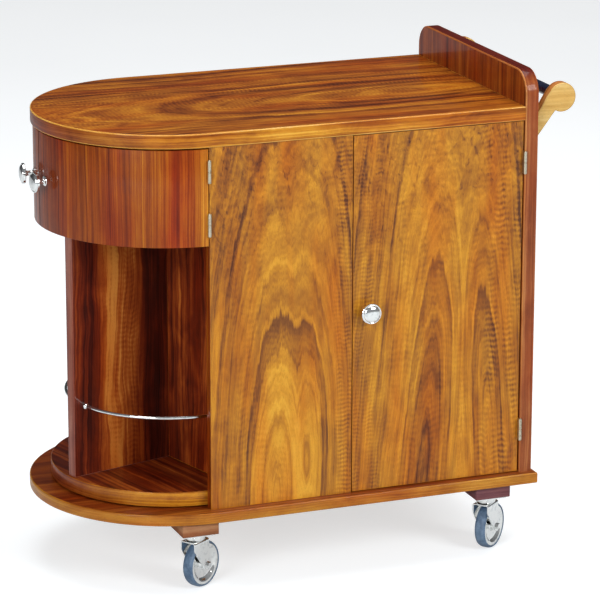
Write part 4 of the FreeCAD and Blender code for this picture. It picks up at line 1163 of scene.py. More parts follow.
# Its drift paints light round each drum door: darker towards the meeting line at the left, much lighter
# towards the hinge.
DRUM_VENEER = Veneer(
    "drum_veneer", STRIPED_STOPS, band=58.0, line=300.0, rings=90.0, ring_dark=0.24,
    weights=(0.3, 0.28, 0.1, 0.1), wander=0.009, ragged=0.004, flush="f0a878",
    drift=((0.0, -0.1), (0.12, -0.02), (0.25, 0.0), (0.32, 0.06), (0.36, 0.26)))
RED_STOPS = ((0.0, "350f05"), (0.3, "5f2209"), (0.55, "863c11"), (0.8, "a65d1e"), (1.0, "c4803a"))
END_VENEER = Veneer("end_veneer", RED_STOPS, band=40.0, line=240.0, ring_dark=0.26,
                    weights=(0.36, 0.26, 0.1, 0.12))
BASE_VENEER = replace(END_VENEER, name="base_veneer", band=36.0, ring_dark=0.24)
END_EDGE = Veneer("end_edge", ((0.0, "5a2413"), (0.5, "8f4a24"), (1.0, "b87844")), band=110.0,
                  tint="a05a5e")
# The divider's edges take the wood's red-brown with a mauve-grey cast that paints their sheen.
DIVIDER_EDGE_SHEEN = Veneer("divider_edge_sheen", ((0.0, "54241c"), (0.5, "84493c"), (1.0, "ac7460")), band=90.0,
                      line=300.0)
# Near-black veneer for the drum doors' ends: painted shade, so that the gap between the doors reads as a
# dark line.
GAP_SHADE = Veneer("gap_shade", ((0.0, "1c0a06"), (0.5, "2e130b"), (1.0, "44210f")), band=110.0)
DARK_STOPS = ((0.0, "190704"), (0.25, "3e1209"), (0.5, "6a250e"), (0.75, "9c4a1a"), (1.0, "c87f36"))
# Its drift paints light and shade over the dark wood: a lit band across the middle of the divider's left
# half and shade deepening into the corner by the front wing.
DIVIDER_VENEER = Veneer(
    "divider_veneer", DARK_STOPS, band=30.0, line=230.0, ring_dark=0.26, weights=(0.4, 0.28, 0.1, 0.16),
    drift=((-0.2, -0.06), (-0.15, 0.0), (-0.115, 0.4), (-0.09, 0.3), (-0.07, -0.02), (-0.035, -0.3),
           (0.1, -0.04)),
    ripples=(Ripple(-0.1, 0.05, 0.06),), wander=0.05)
WING_VENEER = Veneer("wing_veneer", DARK_STOPS, band=34.0, line=230.0, ring_dark=0.26,
                     weights=(0.44, 0.28, 0.1, 0.24), wander=0.05)
DISC_VENEER = Veneer("disc_veneer", DARK_STOPS, band=40.0, line=260.0, weights=(0.4, 0.28, 0.1, 0.14),
                     ring_dark=0.26)
INNER_VENEER = Veneer("inner_veneer", ((0.0, "6e4322"), (0.5, "9c6a39"), (1.0, "c2935a")), gloss=0.2,
                      coat=0.1)
BLOCK_TAN = Veneer("tan_block", ((0.0, "6b4530"), (0.5, "98694a"), (1.0, "c09a72")), band=90.0, gloss=0.4,
                   coat=0.0)
# The right-hand blocks take a purple-grey copy of the block wood: a painted sheen.
BLOCK_SHEENED = replace(BLOCK_TAN, name="sheened_block",
                       stops=((0.0, "452a32"), (0.5, "6e4c58"), (1.0, "947078")))
ASH = Veneer("pale_ash", ((0.0, "a97a3a"), (0.35, "c8a25a"), (0.7, "dbbb76"), (1.0, "e8ce96")), band=60.0,
             line=330.0, gloss=0.12, coat=0.3, flush="fff0d8")
ASH_EDGE = Veneer("ash_end_grain", ((0.0, "8a5424"), (0.5, "b87c3c"), (1.0, "d9a866")), band=120.0,
                  gloss=0.16, coat=0.3)


# --- places ---

@dataclass(frozen=True)
class Span:
    """The box of a solid at rest."""

    low: Vector
    high: Vector

    @classmethod
    def of(cls, node: str) -> "Span":
        """The box of the named solid."""
        low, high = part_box(node)
        return cls(Vector(low), Vector(high))

    @property
    def middle(self) -> Vector:
        """The box's middle."""
        return (self.low + self.high) / 2

    @property
    def size(self) -> Vector:
        """The box's lengths."""
        return self.high - self.low

    def sides(self, plane: Plane) -> tuple[float, float, float, float]:
        """The box's sides in a plane, as first low, first high, second low, second high."""
        first, second, _ = plane.value
        return self.low[first], self.high[first], self.low[second], self.high[second]


DRUM_AXIS = joint_point("carousel_turn")


@dataclass(frozen=True)
class Board:
    """A flat board that stands for one solid.

    Attributes:
        node: the solid.
        name: the piece's name.
        slot: the name of a material slot, handed on to its piece.
        plane: the plane of its broad faces.
        run: axis that its grain follows.
        finishes: its finishes.
        parts: which of them the low face, the edges, the high face and the arrises take.
        seed: shift of its grain.
        body: the body that carries it.
    """

    node: str
    name: str
    slot: str
    plane: Plane
    run: Run
    finishes: tuple[Finish, ...]
    parts: tuple[int, int, int, int]
    seed: float = 0.0
    body: str = "cabinet"

    def build(self, ease: float, outline: Optional[Sequence[Point2]] = None) -> None:
        """Make the board.

        Args:
            ease: radius of its arrises.
            outline: its outline; without one it is a rectangle.
        """
        span = Span.of(self.node)
        out_axis = self.plane.value[2]
        outline = outline or rectangle(*span.sides(self.plane))
        form = Form().slab(outline, self.plane, span.low[out_axis], span.high[out_axis], ease, self.run,
                           self.seed, self.parts)
        form.finish(Piece(self.name, self.body, self.slot, (self.node,)), *self.finishes)


# --- cabinet ---

@dataclass
class Carcass:
    """The fixed boards: top, end panel, base, panels, partition, drum floor and shelf.

    Attributes:
        top_ease: rounding of the top's arrises.
        board_ease: rounding of the thick boards' arrises.
        panel_ease: rounding of the panels' arrises.
        corner: radius of the end panel's upper corners.
        corner_steps: faces round such a corner.
        round_steps: faces round the half circle.
    """

    top_ease: float = 1.8 * MM
    board_ease: float = 2.2 * MM
    panel_ease: float = 0.5 * MM
    corner: float = 40 * MM
    corner_steps: int = 12
    round_steps: int = 72

    def round_ended(self, node: str) -> list[Point2]:
        """Outline of a board with a straight right end and a half round left end."""
        span = Span.of(node)
        straight = [(span.high.x, span.low.y), (span.high.x, span.high.y)]
        return straight + arc((DRUM_AXIS.x, span.middle.y), span.size.y / 2, 90, 270, self.round_steps)

    def shouldered(self, node: str) -> list[Point2]:
        """Outline of the end panel, with two round upper corners."""
        y0, y1, z0, z1 = Span.of(node).sides(Plane.YZ)
        right = arc((y1 - self.corner, z1 - self.corner), self.corner, 0, 90, self.corner_steps)
        left = arc((y0 + self.corner, z1 - self.corner), self.corner, 90, 180, self.corner_steps)
        return [(y0, z0), (y1, z0)] + right + left

    def build(self) -> None:
        """Make every fixed board, from the serving top to the inside."""
        Board("top_board", "serving_top", "top_walnut", Plane.XY, Run.X,
              (TOP_VENEER, EDGE_BAND, ARRIS_HIGHLIGHT, INNER_VENEER), (3, 1, 0, 2)).build(
                  self.top_ease, self.round_ended("top_board"))
        Board("base_board", "base", "red_walnut", Plane.XY, Run.X, (BASE_VENEER, BASE_BAND, INNER_VENEER),
              (2, 1, 0, 1), 0.31).build(self.board_ease, self.round_ended("base_board"))
        Board("end_panel", "end_board", "red_walnut", Plane.YZ, Run.Z, (END_VENEER, END_EDGE, END_ARRIS_HIGHLIGHT),
              (0, 1, 0, 2), 0.13).build(self.board_ease, self.shouldered("end_panel"))
        for node, finish in (("front_panel", FRONT_VENEER), ("back_panel", BACK_VENEER)):
            Board(node, f"{node}_board", "figured_walnut", Plane.XZ, Run.Z, (finish, DRUM_VENEER),
                  (0, 1, 0, 0)).build(self.panel_ease)
        Board("partition", "partition_board", "inner_walnut", Plane.YZ, Run.Z, (WING_VENEER, INNER_VENEER),
              (0, 0, 1, 0), 0.57).build(self.panel_ease)
        Board("drum_floor", "drum_floor_board", "inner_walnut", Plane.XY, Run.X,
              (WING_VENEER, INNER_VENEER), (0, 0, 1, 0), 0.77).build(
                  self.panel_ease, self.round_ended("drum_floor"))
        Board("cupboard_shelf", "shelf_board", "inner_walnut", Plane.XY, Run.X, (INNER_VENEER, EDGE_BAND),
              (0, 1, 0, 1), 0.91).build(self.panel_ease)


@dataclass
class Doors:
    """The flat cupboard door and the two quarter-round drum doors.

    Attributes:
        ease: rounding of their arrises.
        skin: thickness of a drum door.
        meeting: half the gap between the drum doors.
        hinge_gap: drum axis to the hinged edge.
        around: faces round a drum door.
        top_gap: how far a drum door's upper edge is kept below its solid's.
        back_shift: shift of the back drum door's grain.
    """

    ease: float = 0.5 * MM
    skin: float = 18 * MM
    meeting: float = 1.4 * MM
    hinge_gap: float = 7.5 * MM
    around: int = 48
    top_gap: float = 1.6 * MM
    back_shift: float = 0.4

    def build(self) -> None:
        """Make the three doors."""
        Board("cupboard_door", "cupboard_leaf", "figured_walnut", Plane.XZ, Run.Z,
              (DOOR_VENEER, DRUM_VENEER, INNER_VENEER), (0, 1, 2, 0), body="cupboard_door").build(self.ease)
        for side, sign in (("front", -1), ("back", 1)):
            self.build_drum_door(side, sign)

    def build_drum_door(self, side: str, sign: int) -> None:
        """One quarter of the drum, from the meeting line to its hinge.

        Args:
            side: front or back.
            sign: -1 for the front, 1 for the back.
        """
        span = Span.of(f"{side}_drum_door")
        outer = DRUM_AXIS.x - span.low.x
        section = rounded(outer - self.skin, outer, span.low.z, span.high.z - self.top_gap, self.ease)
        rings = []
        for i in range(self.around + 1):
            share = i / self.around
            ring = []
            for radius, height in section:
                start = math.pi - math.asin(self.meeting / radius)
                end = math.pi / 2 + math.asin(self.hinge_gap / radius)
                angle = start + (end - start) * share
                ring.append(Vector((DRUM_AXIS.x + radius * math.cos(angle),
                                    DRUM_AXIS.y + sign * radius * math.sin(angle), height)))
            rings.append(ring)
        quarter = math.pi / 2 * outer
        shift = self.back_shift if sign > 0 else 0.0

        def grain(i: int, j: int, point: Vector, row: int) -> Point2:
            """Grain runs up the door and is counted round the drum."""
            radius, height = section[j % len(section)]
            return height + shift, quarter * i / self.around + (outer - radius)

        form = Form().loft(rings, grain, cap_parts=(1, 1), part_of=lambda i, j: 0,
                           cap_grain=lambda point: (point.z, point.x + point.y))
        door = f"{side}_drum_door"
        # The door's two ends take the near-black finish that paints the shade in the gaps.
        form.finish(Piece(f"{side}_drum_leaf", door, "striped_walnut", (door,)), DRUM_VENEER, GAP_SHADE)


# --- fittings ---

@dataclass
class Knob:
    """A turned knob with a rim and a domed cap.

    Attributes:
        foot: profile of its foot against the door.
        neck: points that its neck bends through.
        rim: profile of its rim.
        dome: radius of the dome.
        dome_low: height of the dome's foot.
        reach: height of the dome's top.
        dome_steps: faces up the dome.
    """

    foot: Profile = mm((0.05, 0), (8.5, 0), (8.5, 2), (7.8, 2.8))
    neck: Profile = mm((5.9, 3.2), (4.5, 5.5), (4.5, 13.6), (7.1, 15.8), (14.5, 17))
    rim: Profile = mm((16.8, 17.5), (17.5, 18.3), (17.5, 21.7), (16.8, 22.4), (15.7, 22.4), (15.5, 21.9),
                      (14.8, 22.2))
    dome: float = 14.5 * MM
    dome_low: float = 22.4 * MM
    reach: float = 27 * MM
    dome_steps: int = 12

    def profile(self) -> list[Point2]:
        """Radii and heights from the foot to the top of the dome."""
        rows = [*self.foot, *smooth(self.neck, 4), *self.rim]
        rise = self.reach - self.dome_low
        for i in range(1, self.dome_steps + 1):
            turn = math.pi / 2 * i / self.dome_steps
            rows.append((max(POLE, self.dome * math.cos(turn)), self.dome_low + rise * math.sin(turn)))
        return rows

    def build(self, node: str, body: str, point: Vector, direction: Vector) -> None:
        """Make the knob.

        Args:
            node: the solid that it stands for.
            body: the door that carries it.
            point: middle of its foot.
            direction: the way that it sticks out.
        """
        form = Form().turned(self.profile(), standing(point, direction))
        form.finish(Piece(f"{node}_turned", body, "chrome", (node,)), CHROME)


@dataclass
class Hinge:
    """A small butt hinge with two knuckles, a pin and screwed leaves.

    Attributes:
        length: height of the hinge.
        knuckle: radius of its knuckles.
        knuckle_ease: rounding of their ends.
        knuckle_tip: radius that closes them at the axis.
        seam: half the gap between them.
        leaf: a leaf's near and far edges, from the axis.
        let_in: how deep a leaf is let into the wood.
        proud: how far it stands out of the wood.
        corner: radius of its corners.
        arris: rounding of its arrises.
        screws: where its screws are, as shares of its height.
        screw_head: profile of a screw's head.
        pin_tip: profile of the pin's lower end, from the hinge's.
    """

    length: float = 38 * MM
    knuckle: float = 3 * MM
    knuckle_ease: float = 0.35 * MM
    knuckle_tip: float = 0.1 * MM
    seam: float = 0.5 * MM
    leaf: Point2 = (1.5 * MM, 18 * MM)
    let_in: float = 0.8 * MM
    proud: float = 0.2 * MM
    corner: float = 1 * MM
    arris: float = 0.1 * MM
    screws: tuple[float, ...] = (0.16, 0.5, 0.84)
    screw_head: Profile = mm((0.05, -0.3), (2, -0.3), (2, 0.05), (1.2, 0.3), (0.05, 0.36))
    pin_tip: Profile = mm((0.05, -1.2), (1.2, -1.0), (1.9, -0.3), (1.9, 1), (0.05, 1))

    def barrel(self, place: Matrix, low: float, high: float) -> Form:
        """A knuckle with soft ends."""
        ease, tip = self.knuckle_ease, self.knuckle_tip
        rows = [(tip, low), (self.knuckle - ease, low), (self.knuckle, low + ease),
                (self.knuckle, high - ease), (self.knuckle - ease, high), (tip, high)]
        return Form().turned(rows, place, around=24)

    def leaf_form(self, form: Form, axis: Vector, inward: int, face: float, side: int, low: float) -> None:
        """A thin leaf let into the wood, with its screw heads.

        Args:
            form: the form to add to.
            axis: the hinge's axis.
            inward: which way along Y the leaf reaches.
            face: the x of the wood's surface.
            side: which way along X the leaf stands out of the wood.
            low: its lower end.
        """
        near, far = sorted(axis.y + inward * edge for edge in self.leaf)
        x0, x1 = sorted((face - side * self.let_in, face + side * self.proud))
        form.slab(rounded(near, far, low, low + self.length, self.corner), Plane.YZ, x0, x1, self.arris,
                  Run.Z, parts=(0, 0, 0, 0), steps=1)
        for share in self.screws:
            spot = Vector((face + side * self.proud, (near + far) / 2, low + self.length * share))
            form.turned(self.screw_head, standing(spot, Vector((side, 0, 0))), around=16)

    def build(self, name: str, body: str, low: float, inward: int, door_face: float, frame_face: float,
              nodes: tuple[str, str]) -> None:
        """Make the hinge.

        Args:
            name: the hinge's name.
            body: the door's body.
            low: lower end of the hinge.
            inward: which way along Y the leaves reach.
            door_face: the x of the door's edge, which faces +X.
            frame_face: the x of the edge that it closes against.
            nodes: solids of the frame's leaves and of the door's leaves.
        """
        axis = joint_point(f"{body}_hinge")
        high, middle = low + self.length, low + self.length / 2
        place = Matrix.Translation((axis.x, axis.y, 0))
        frame_form = self.barrel(place, low, middle - self.seam)
        self.leaf_form(frame_form, axis, inward, frame_face, -1, low)
        frame_form.turned(raised(self.pin_tip, low), place, around=20)
        frame_form.finish(Piece(f"{name}_frame_leaf", "cabinet", "nickel", (nodes[0],)), NICKEL)
        door_form = self.barrel(place, middle + self.seam, high)
        self.leaf_form(door_form, axis, inward, door_face, 1, low)
        door_form.turned(raised(flipped(self.pin_tip), high), place, around=20)
        door_form.finish(Piece(f"{name}_door_leaf", body, "nickel", (nodes[1],)), NICKEL)


@dataclass
class Fittings:
    """Knobs, hinges, catches and the small parts between the boards.

    Attributes:
        knob: the knob that each door has.
        hinge: the hinge that each door has two of.
        catch_width: width of a drum door's catch.
        catch_corner: radius of a catch's corners.
        catch_ease: rounding of its arrises.
        handle_screw: profile of the head of a screw that holds the handle.
    """

    knob: Knob = field(default_factory=Knob)
    hinge: Hinge = field(default_factory=Hinge)
    catch_width: float = 12 * MM
    catch_corner: float = 2 * MM
    catch_ease: float = 0.8 * MM
    handle_screw: Profile = mm((0.05, -1), (5, -1), (5, 0.05), (3.8, 0.32), (0.05, 0.4))

    def build(self) -> None:
        """Make every fitting."""
        self.build_knobs()
        self.build_hinges()
        self.build_catches()
        self.build_handle_screws()
        dress("shelf_pegs", NICKEL)
        dress("hinge_pins", NICKEL)

    def build_knobs(self) -> None:
        """One knob on the cupboard door and one on each drum door."""
        span, door = Span.of("cupboard_knob"), Span.of("cupboard_door")
        point = Vector((span.middle.x, door.low.y, span.middle.z))
        self.knob.build("cupboard_knob", "cupboard_door", point, Vector((0, -1, 0)))
        for side in ("front", "back"):
            node = f"{side}_drum_knob"
            span, drum = Span.of(node), Span.of(f"{side}_drum_door")
            outer = DRUM_AXIS.x - drum.low.x
            aim = span.middle - DRUM_AXIS
            direction = Vector((aim.x, aim.y, 0)).normalized()
            foot = Vector((DRUM_AXIS.x, DRUM_AXIS.y, span.middle.z)) + direction * outer
            self.knob.build(node, f"{side}_drum_door", foot, direction)

    def build_hinges(self) -> None:
        """Two hinges on each door."""
        for door, inward, board in (("cupboard", 1, "end_panel"), ("front_drum", 1, "front_panel"),
                                    ("back_drum", -1, "back_panel")):
            body = f"{door}_door"
            nodes = (f"{door}_hinge_frame_leaves", f"{door}_hinge_door_leaves")
            span = Span.of(nodes[0])
            for level, low in (("low", span.low.z), ("high", span.high.z - self.hinge.length)):
                self.hinge.build(f"{door}_hinge_{level}", body, low, inward, Span.of(body).high.x,
                                 Span.of(board).low.x, nodes)

    def build_catches(self) -> None:
        """Plain shells over the cupboard's catch and the drum doors' catches."""
        jobs = [("cupboard_catch", Span.of("cupboard_catch"), "cupboard")]
        pair = Span.of("drum_catches")
        for side, y0 in (("front", pair.low.y), ("back", pair.high.y - self.catch_width)):
            low = Vector((pair.low.x, y0, pair.low.z))
            high = Vector((pair.high.x, y0 + self.catch_width, pair.high.z))
            jobs.append(("drum_catches", Span(low, high), f"drum_{side}"))
        for node, span, name in jobs:
            outline = rounded(*span.sides(Plane.XY), self.catch_corner)
            form = Form().slab(outline, Plane.XY, span.low.z, span.high.z, self.catch_ease, Run.X,
                               parts=(0, 0, 0, 0))
            form.finish(Piece(f"{name}_catch_shell", "cabinet", "nickel", (node,)), CATCH_SHELL)

    def build_handle_screws(self) -> None:
        """Domed heads of the screws that hold the arms, inside the cupboard."""
        span = Span.of("handle_screws")
        head = max(radius for radius, _ in self.handle_screw)
        form = Form()
        for y in (span.low.y + head, span.high.y - head):
            for z in (span.low.z + head, span.high.z - head):
                spot = Vector((span.low.x, y, z))
                form.turned(self.handle_screw, standing(spot, Vector((-1, 0, 0))), around=24)
        form.finish(Piece("handle_screw_heads", "cabinet", "nickel", ("handle_screws",)), NICKEL)


# --- carousel ---

@dataclass
class Carousel:
    """The turntable with its divider, wings and gallery rails.

    Attributes:
        turn: how far the carousel is turned at rest.
        thickness: thickness of the walls.
        reach: drum axis to the end of a wall.
        rail_circle: radius of the rails' circle.
        rail: radius of a rail.
        rail_steps: faces along a rail.
        flange: profile of a flange.
        flange_depth: thickness of a flange.
        ease: rounding of the arrises.
        disc_steps: faces round the disc.
    """

    turn: float = math.radians(15.5)
    thickness: float = 20 * MM
    reach: float = 202 * MM
    rail_circle: float = 178 * MM
    rail: float = 3 * MM
    rail_steps: int = 40
    flange: Profile = mm((0.05, 0), (5.5, 0), (5.5, 1.25), (4.7, 2.125), (3.8, 2.5), (0.05, 2.5))
    flange_depth: float = 2.5 * MM
    ease: float = 1.2 * MM
    disc_steps: int = 128

    def place(self, bay: int = 0) -> Matrix:
        """From the carousel's own frame to the trolley's, turned on by a number of bays."""
        return (Matrix.Translation((DRUM_AXIS.x, DRUM_AXIS.y, 0))
                @ Matrix.Rotation(self.turn + bay * math.pi / 2, 4, "Z"))

    def build(self) -> None:
        """Make the turntable, its walls and its rails, and dress its pivots."""
        self.build_disc()
        self.build_walls()
        for bay, name in enumerate(("inner", "back", "left", "front")):
            self.build_rail(name, bay)
        for node, finish in (("turntable_spindle", STEEL), ("top_pivot_pin", STEEL),
                             ("top_pivot_bush", BRASS), ("thrust_washer", WASHER_FIBRE)):
            dress(node, finish)

    def build_disc(self) -> None:
        """The round board that carries everything."""
        span = Span.of("turntable")
        outline = arc((0, 0), span.size.x / 2, 0, 360, self.disc_steps)[:-1]
        form = Form().slab(outline, Plane.XY, span.low.z, span.high.z, self.ease, Run.Y, seed=0.21,
                           parts=(0, 1, 0, 1))
        form.moved(self.place()).finish(Piece("turntable_board", "carousel", "red_walnut", ("turntable",)),
                                        DISC_VENEER, EDGE_BAND)

    def build_walls(self) -> None:
        """The full-width divider and the two wings."""
        span, half = Span.of("divider"), self.thickness / 2
        z0, z1 = span.low.z, span.high.z
        form = Form().slab(rectangle(-self.reach, self.reach, z0, z1), Plane.XZ, -half, half, self.ease,
                           Run.Z, parts=(0, 1, 0, 1))
        form.moved(self.place()).finish(Piece("divider_board", "carousel", "dark_walnut", ("divider",)),
                                        DIVIDER_VENEER, DIVIDER_EDGE_SHEEN)
        for side, y0, y1, seed in (("front", -self.reach, -half, 0.43), ("back", half, self.reach, 0.83)):
            form = Form().slab(rectangle(y0, y1, z0, z1), Plane.YZ, -half, half, self.ease, Run.Z,
                               seed=seed, parts=(0, 1, 0, 1))
            form.moved(self.place())
            form.finish(Piece(f"{side}_wing_board", "carousel", "dark_walnut", (f"{side}_wing",)),
                        WING_VENEER, DRUM_VENEER)

    def build_rail(self, name: str, bay: int) -> None:
        """One arc rail with a flange at each end.

        Args:
            name: the bay's name.
            bay: how many quarter turns it stands from the first bay.
        """
        node = f"{name}_gallery_rail"
        height = Span.of(node).middle.z
        half = self.thickness / 2
        start = math.degrees(math.asin((half + self.flange_depth / 2) / self.rail_circle))
        path = [Vector((a, b, height)) for a, b in
                arc((0, 0), self.rail_circle, start, 90 - start, self.rail_steps)]
        form = Form().swept(path, self.rail)
        seat = math.sqrt(self.rail_circle ** 2 - half ** 2)
        form.turned(self.flange, standing(Vector((seat, half, height)), Vector((0, 1, 0))), around=32)
        form.turned(self.flange, standing(Vector((half, seat, height)), Vector((1, 0, 0))), around=32)
        form.moved(self.place(bay)).finish(Piece(f"{node}_bar", "carousel", "chrome", (node,)), CHROME)


# --- handle ---

@dataclass
class Handle:
    """The lacquered bar between two shaped arms.

    Attributes:
        head: radius of an arm's round head.
        head_turn: where the neck leaves the head below and above, in degrees round it.
        head_steps: faces round the head.
        root: height of an arm's root against the end panel.
        lower_bend: first bend of the lower edge, from the root's foot.
        heel: last bend of the lower edge, from the head's middle.
        brow: first bend of the upper edge, from the head's middle.
        upper_bend: last bend of the upper edge, from the root's top.
        ease: rounding of the arms' arrises.
        bar: radius of the bar.
    """

    head: float = 25 * MM
    head_turn: Point2 = (-118, 152)
    head_steps: int = 36
    root: float = 47 * MM
    lower_bend: Point2 = (12 * MM, 15 * MM)
    heel: Point2 = (-16.38 * MM, -27 * MM)
    brow: Point2 = (-29.75 * MM, 0.9 * MM)
    upper_bend: Point2 = (8 * MM, 3.5 * MM)
    ease: float = 2 * MM
    bar: float = 10 * MM

    def outline(self, span: Span, middle: Vector) -> list[Point2]:
        """Side view of an arm, anticlockwise from its lower root."""
        x0, foot, top = span.low.x, span.low.z, span.low.z + self.root
        around = arc((middle.x, middle.z), self.head, *self.head_turn, self.head_steps)
        lower = smooth([(x0, foot), (x0 + self.lower_bend[0], foot + self.lower_bend[1]),
                        (middle.x + self.heel[0], middle.z + self.heel[1]), around[0]], 4)
        upper = smooth([around[-1], (middle.x + self.brow[0], middle.z + self.brow[1]),
                        (x0 + self.upper_bend[0], top + self.upper_bend[1]), (x0, top)], 4)
        return lower[:-1] + around + upper[1:]

    def build(self) -> None:
        """Make the arms and the bar."""
        bar = Span.of("handle_bar")
        middle = bar.middle
        for node, seed in (("front_handle_arm", 0.17), ("back_handle_arm", 0.59)):
            span = Span.of(node)
            form = Form().slab(self.outline(span, middle), Plane.XZ, span.low.y, span.high.y, self.ease,
                               Run.X, seed=seed, parts=(0, 1, 0, 0))
            form.finish(Piece(f"{node}_shaped", "cabinet", "pale_ash", (node,)), ASH, ASH_EDGE)
        form = Form().turned(rod(self.bar, bar.low.y - middle.y, bar.high.y - middle.y),
                             standing(middle, Vector((0, 1, 0))))
        form.finish(Piece("lacquered_bar", "cabinet", "navy_lacquer", ("handle_bar",)), NAVY)


# --- casters ---

@dataclass
class Caster:
    """One swivel caster under its wooden block.

    Attributes:
        name: the corner that it stands at.
        block: finish of the block above it; the purple-grey copy paints the sheen on the right-hand blocks.
        block_size: side of that block.
        block_corner: radius of its corners.
        block_ease: rounding of its arrises.
        plate: side of the plate.
        plate_corner: radius of its corners.
        plate_ease: rounding of its arrises.
        plate_thickness: thickness of the plate.
        race: profile of the fixed race, from the plate's underside.
        kingpin: profile of the pin's head, from its lower end.
        screw_place: swivel to a screw, along X and along Y.
        screw_head: profile of a screw's head.
        width: outer width of the fork.
        length: length of the fork's crown.
        metal: thickness of the fork's metal.
        bend: radius of the bend between the crown and a leg.
        outer_ease: rounding of the metal's outer arrises.
        inner_ease: rounding of its inner arrises.
        shoulder: how far below the crown the legs begin to narrow.
        bows: how the leading and the trailing edge bow on the way down.
        tip: radius of the fork's tips.
        tip_levels: first heights of a leg, from its foot.
        tip_least: least half width of a tip.
        leg_steps: faces up a leg.
        bolt: profile of the head and the nut, from the fork's side.
        axle_radius: radius of the axle.
        axle_proud: how far it reaches past the fork's sides.
        hub_side: profile of one side of the wheel's hub.
        dish_side: points that the dish bends through.
        lip_side: profile of the wheel's lip.
        tyre_seat: profile of the tyre against the lip.
        tyre_wall: first points that its wall bends through.
        tyre_crown: the other ones, from its outer radius.
    """

    name: str
    block: Veneer
    block_size: float = 64 * MM
    block_corner: float = 1.5 * MM
    block_ease: float = 0.8 * MM
    plate: float = 56 * MM
    plate_corner: float = 4 * MM
    plate_ease: float = 0.5 * MM
    plate_thickness: float = 3 * MM
    race: Profile = mm((0.05, -12), (15, -12), (17, -11), (18, -8), (17.4, -5), (18, -1), (18, 0.5),
                       (0.05, 0.5))
    kingpin: Profile = mm((0.05, 0), (6.4, 0), (8, 1), (8, 2.5), (5, 2.5))
    screw_place: float = 22 * MM
    screw_head: Profile = mm((0.05, -1), (3.75, -1), (3.75, 0.3), (2.8, 1.4), (1.2, 1.95), (0.05, 2))
    width: float = 31 * MM
    length: float = 40 * MM
    metal: float = 2.5 * MM
    bend: float = 4 * MM
    outer_ease: float = 0.6 * MM
    inner_ease: float = 0.4 * MM
    shoulder: float = 15 * MM
    bows: Point2 = (0.72, 0.5)
    tip: float = 9 * MM
    tip_levels: tuple[float, ...] = (0.02 * MM, 0.6 * MM, 2 * MM, 4.5 * MM)
    tip_least: float = 0.4 * MM
    leg_steps: int = 9
    bolt: Profile = mm((0.05, 0), (5.5, 0), (5.5, 2.9), (4.6, 3.5), (0.05, 3.5))
    axle_radius: float = 3 * MM
    axle_proud: float = 0.5 * MM
    hub_side: Profile = mm((0.05, 12), (3, 12), (7, 12), (8.5, 10.5), (9.3, 6))
    dish_side: Profile = mm((11, 4.3), (16, 3.9), (22.5, 4.6), (26, 5.8), (29, 7.6), (31.5, 8.7), (34, 9))
    lip_side: Profile = mm((35.3, 8.9), (36, 8.2), (36, 7.3))
    tyre_seat: Profile = mm((31.2, 7), (36.1, 7), (36.1, 9.2))
    tyre_wall: Profile = mm((36.6, 9.9), (37.8, 9.6))
    tyre_crown: Profile = mm((-1, 7.8), (0, 4.5), (0, 0))

    def __post_init__(self) -> None:
        """Read the swivel and the wheel's middle from the frame."""
        self.swivel = joint_point(f"{self.name}_swivel")
        self.hub = joint_point(f"{self.name}_roll")
        self.axle = joint_axis(f"{self.name}_roll")
        trailing = Vector((self.hub.x - self.swivel.x, self.hub.y - self.swivel.y, 0))
        self.trail = trailing.length
        self.heading = math.atan2(trailing.y, trailing.x)

    def build(self) -> None:
        """Make the block, plate, fork, axle, wheel and tyre."""
        self.build_mount()
        self.build_fork()
        self.build_axle()
        self.build_wheel()

    def piece(self, name: str, body: str, slot: str, part: str) -> Piece:
        """A moving piece of this caster; the names are given without the corner."""
        return Piece(f"{self.name}_{name}", f"{self.name}_{body}", slot, (f"{self.name}_{part}",))

    def square(self, side: float, corner: float) -> list[Point2]:
        """A square about the swivel, with round corners."""
        x, y, half = self.swivel.x, self.swivel.y, side / 2
        return rounded(x - half, x + half, y - half, y + half, corner)

    def build_mount(self) -> None:
        """The wooden block, the plate with its race and kingpin, and its screws."""
        blocks, plates = Span.of("caster_blocks"), Span.of("caster_plates")
        form = Form().slab(self.square(self.block_size, self.block_corner), Plane.XY, blocks.low.z,
                           blocks.high.z, self.block_ease, Run.X, seed=self.swivel.x + self.swivel.y,
                           parts=(0, 0, 0, 0), edge_run=Run.X)
        form.finish(Piece(f"{self.name}_block", "cabinet", "block_wood", ("caster_blocks",)), self.block)
        under, foot = plates.high.z - self.plate_thickness, plates.low.z
        form = Form().slab(self.square(self.plate, self.plate_corner), Plane.XY, under, plates.high.z,
                           self.plate_ease, Run.X, parts=(0, 0, 0, 0))
        upright_at = Matrix.Translation((self.swivel.x, self.swivel.y, 0))
        form.turned(raised(self.race, under), upright_at)
        shank = self.kingpin[-1][0]
        form.turned([*raised(self.kingpin, foot), (shank, under), (POLE, under)], upright_at, around=32)
        form.finish(Piece(f"{self.name}_plate", "cabinet", "chrome", ("caster_plates",)), CHROME)
        form = Form()
        for dx in (-self.screw_place, self.screw_place):
            for dy in (-self.screw_place, self.screw_place):
                spot = Vector((self.swivel.x + dx, self.swivel.y + dy, under))
                form.turned(self.screw_head, standing(spot, -UP), around=20)
        form.finish(Piece(f"{self.name}_screws", "cabinet", "nickel", ("caster_screws",)), NICKEL)

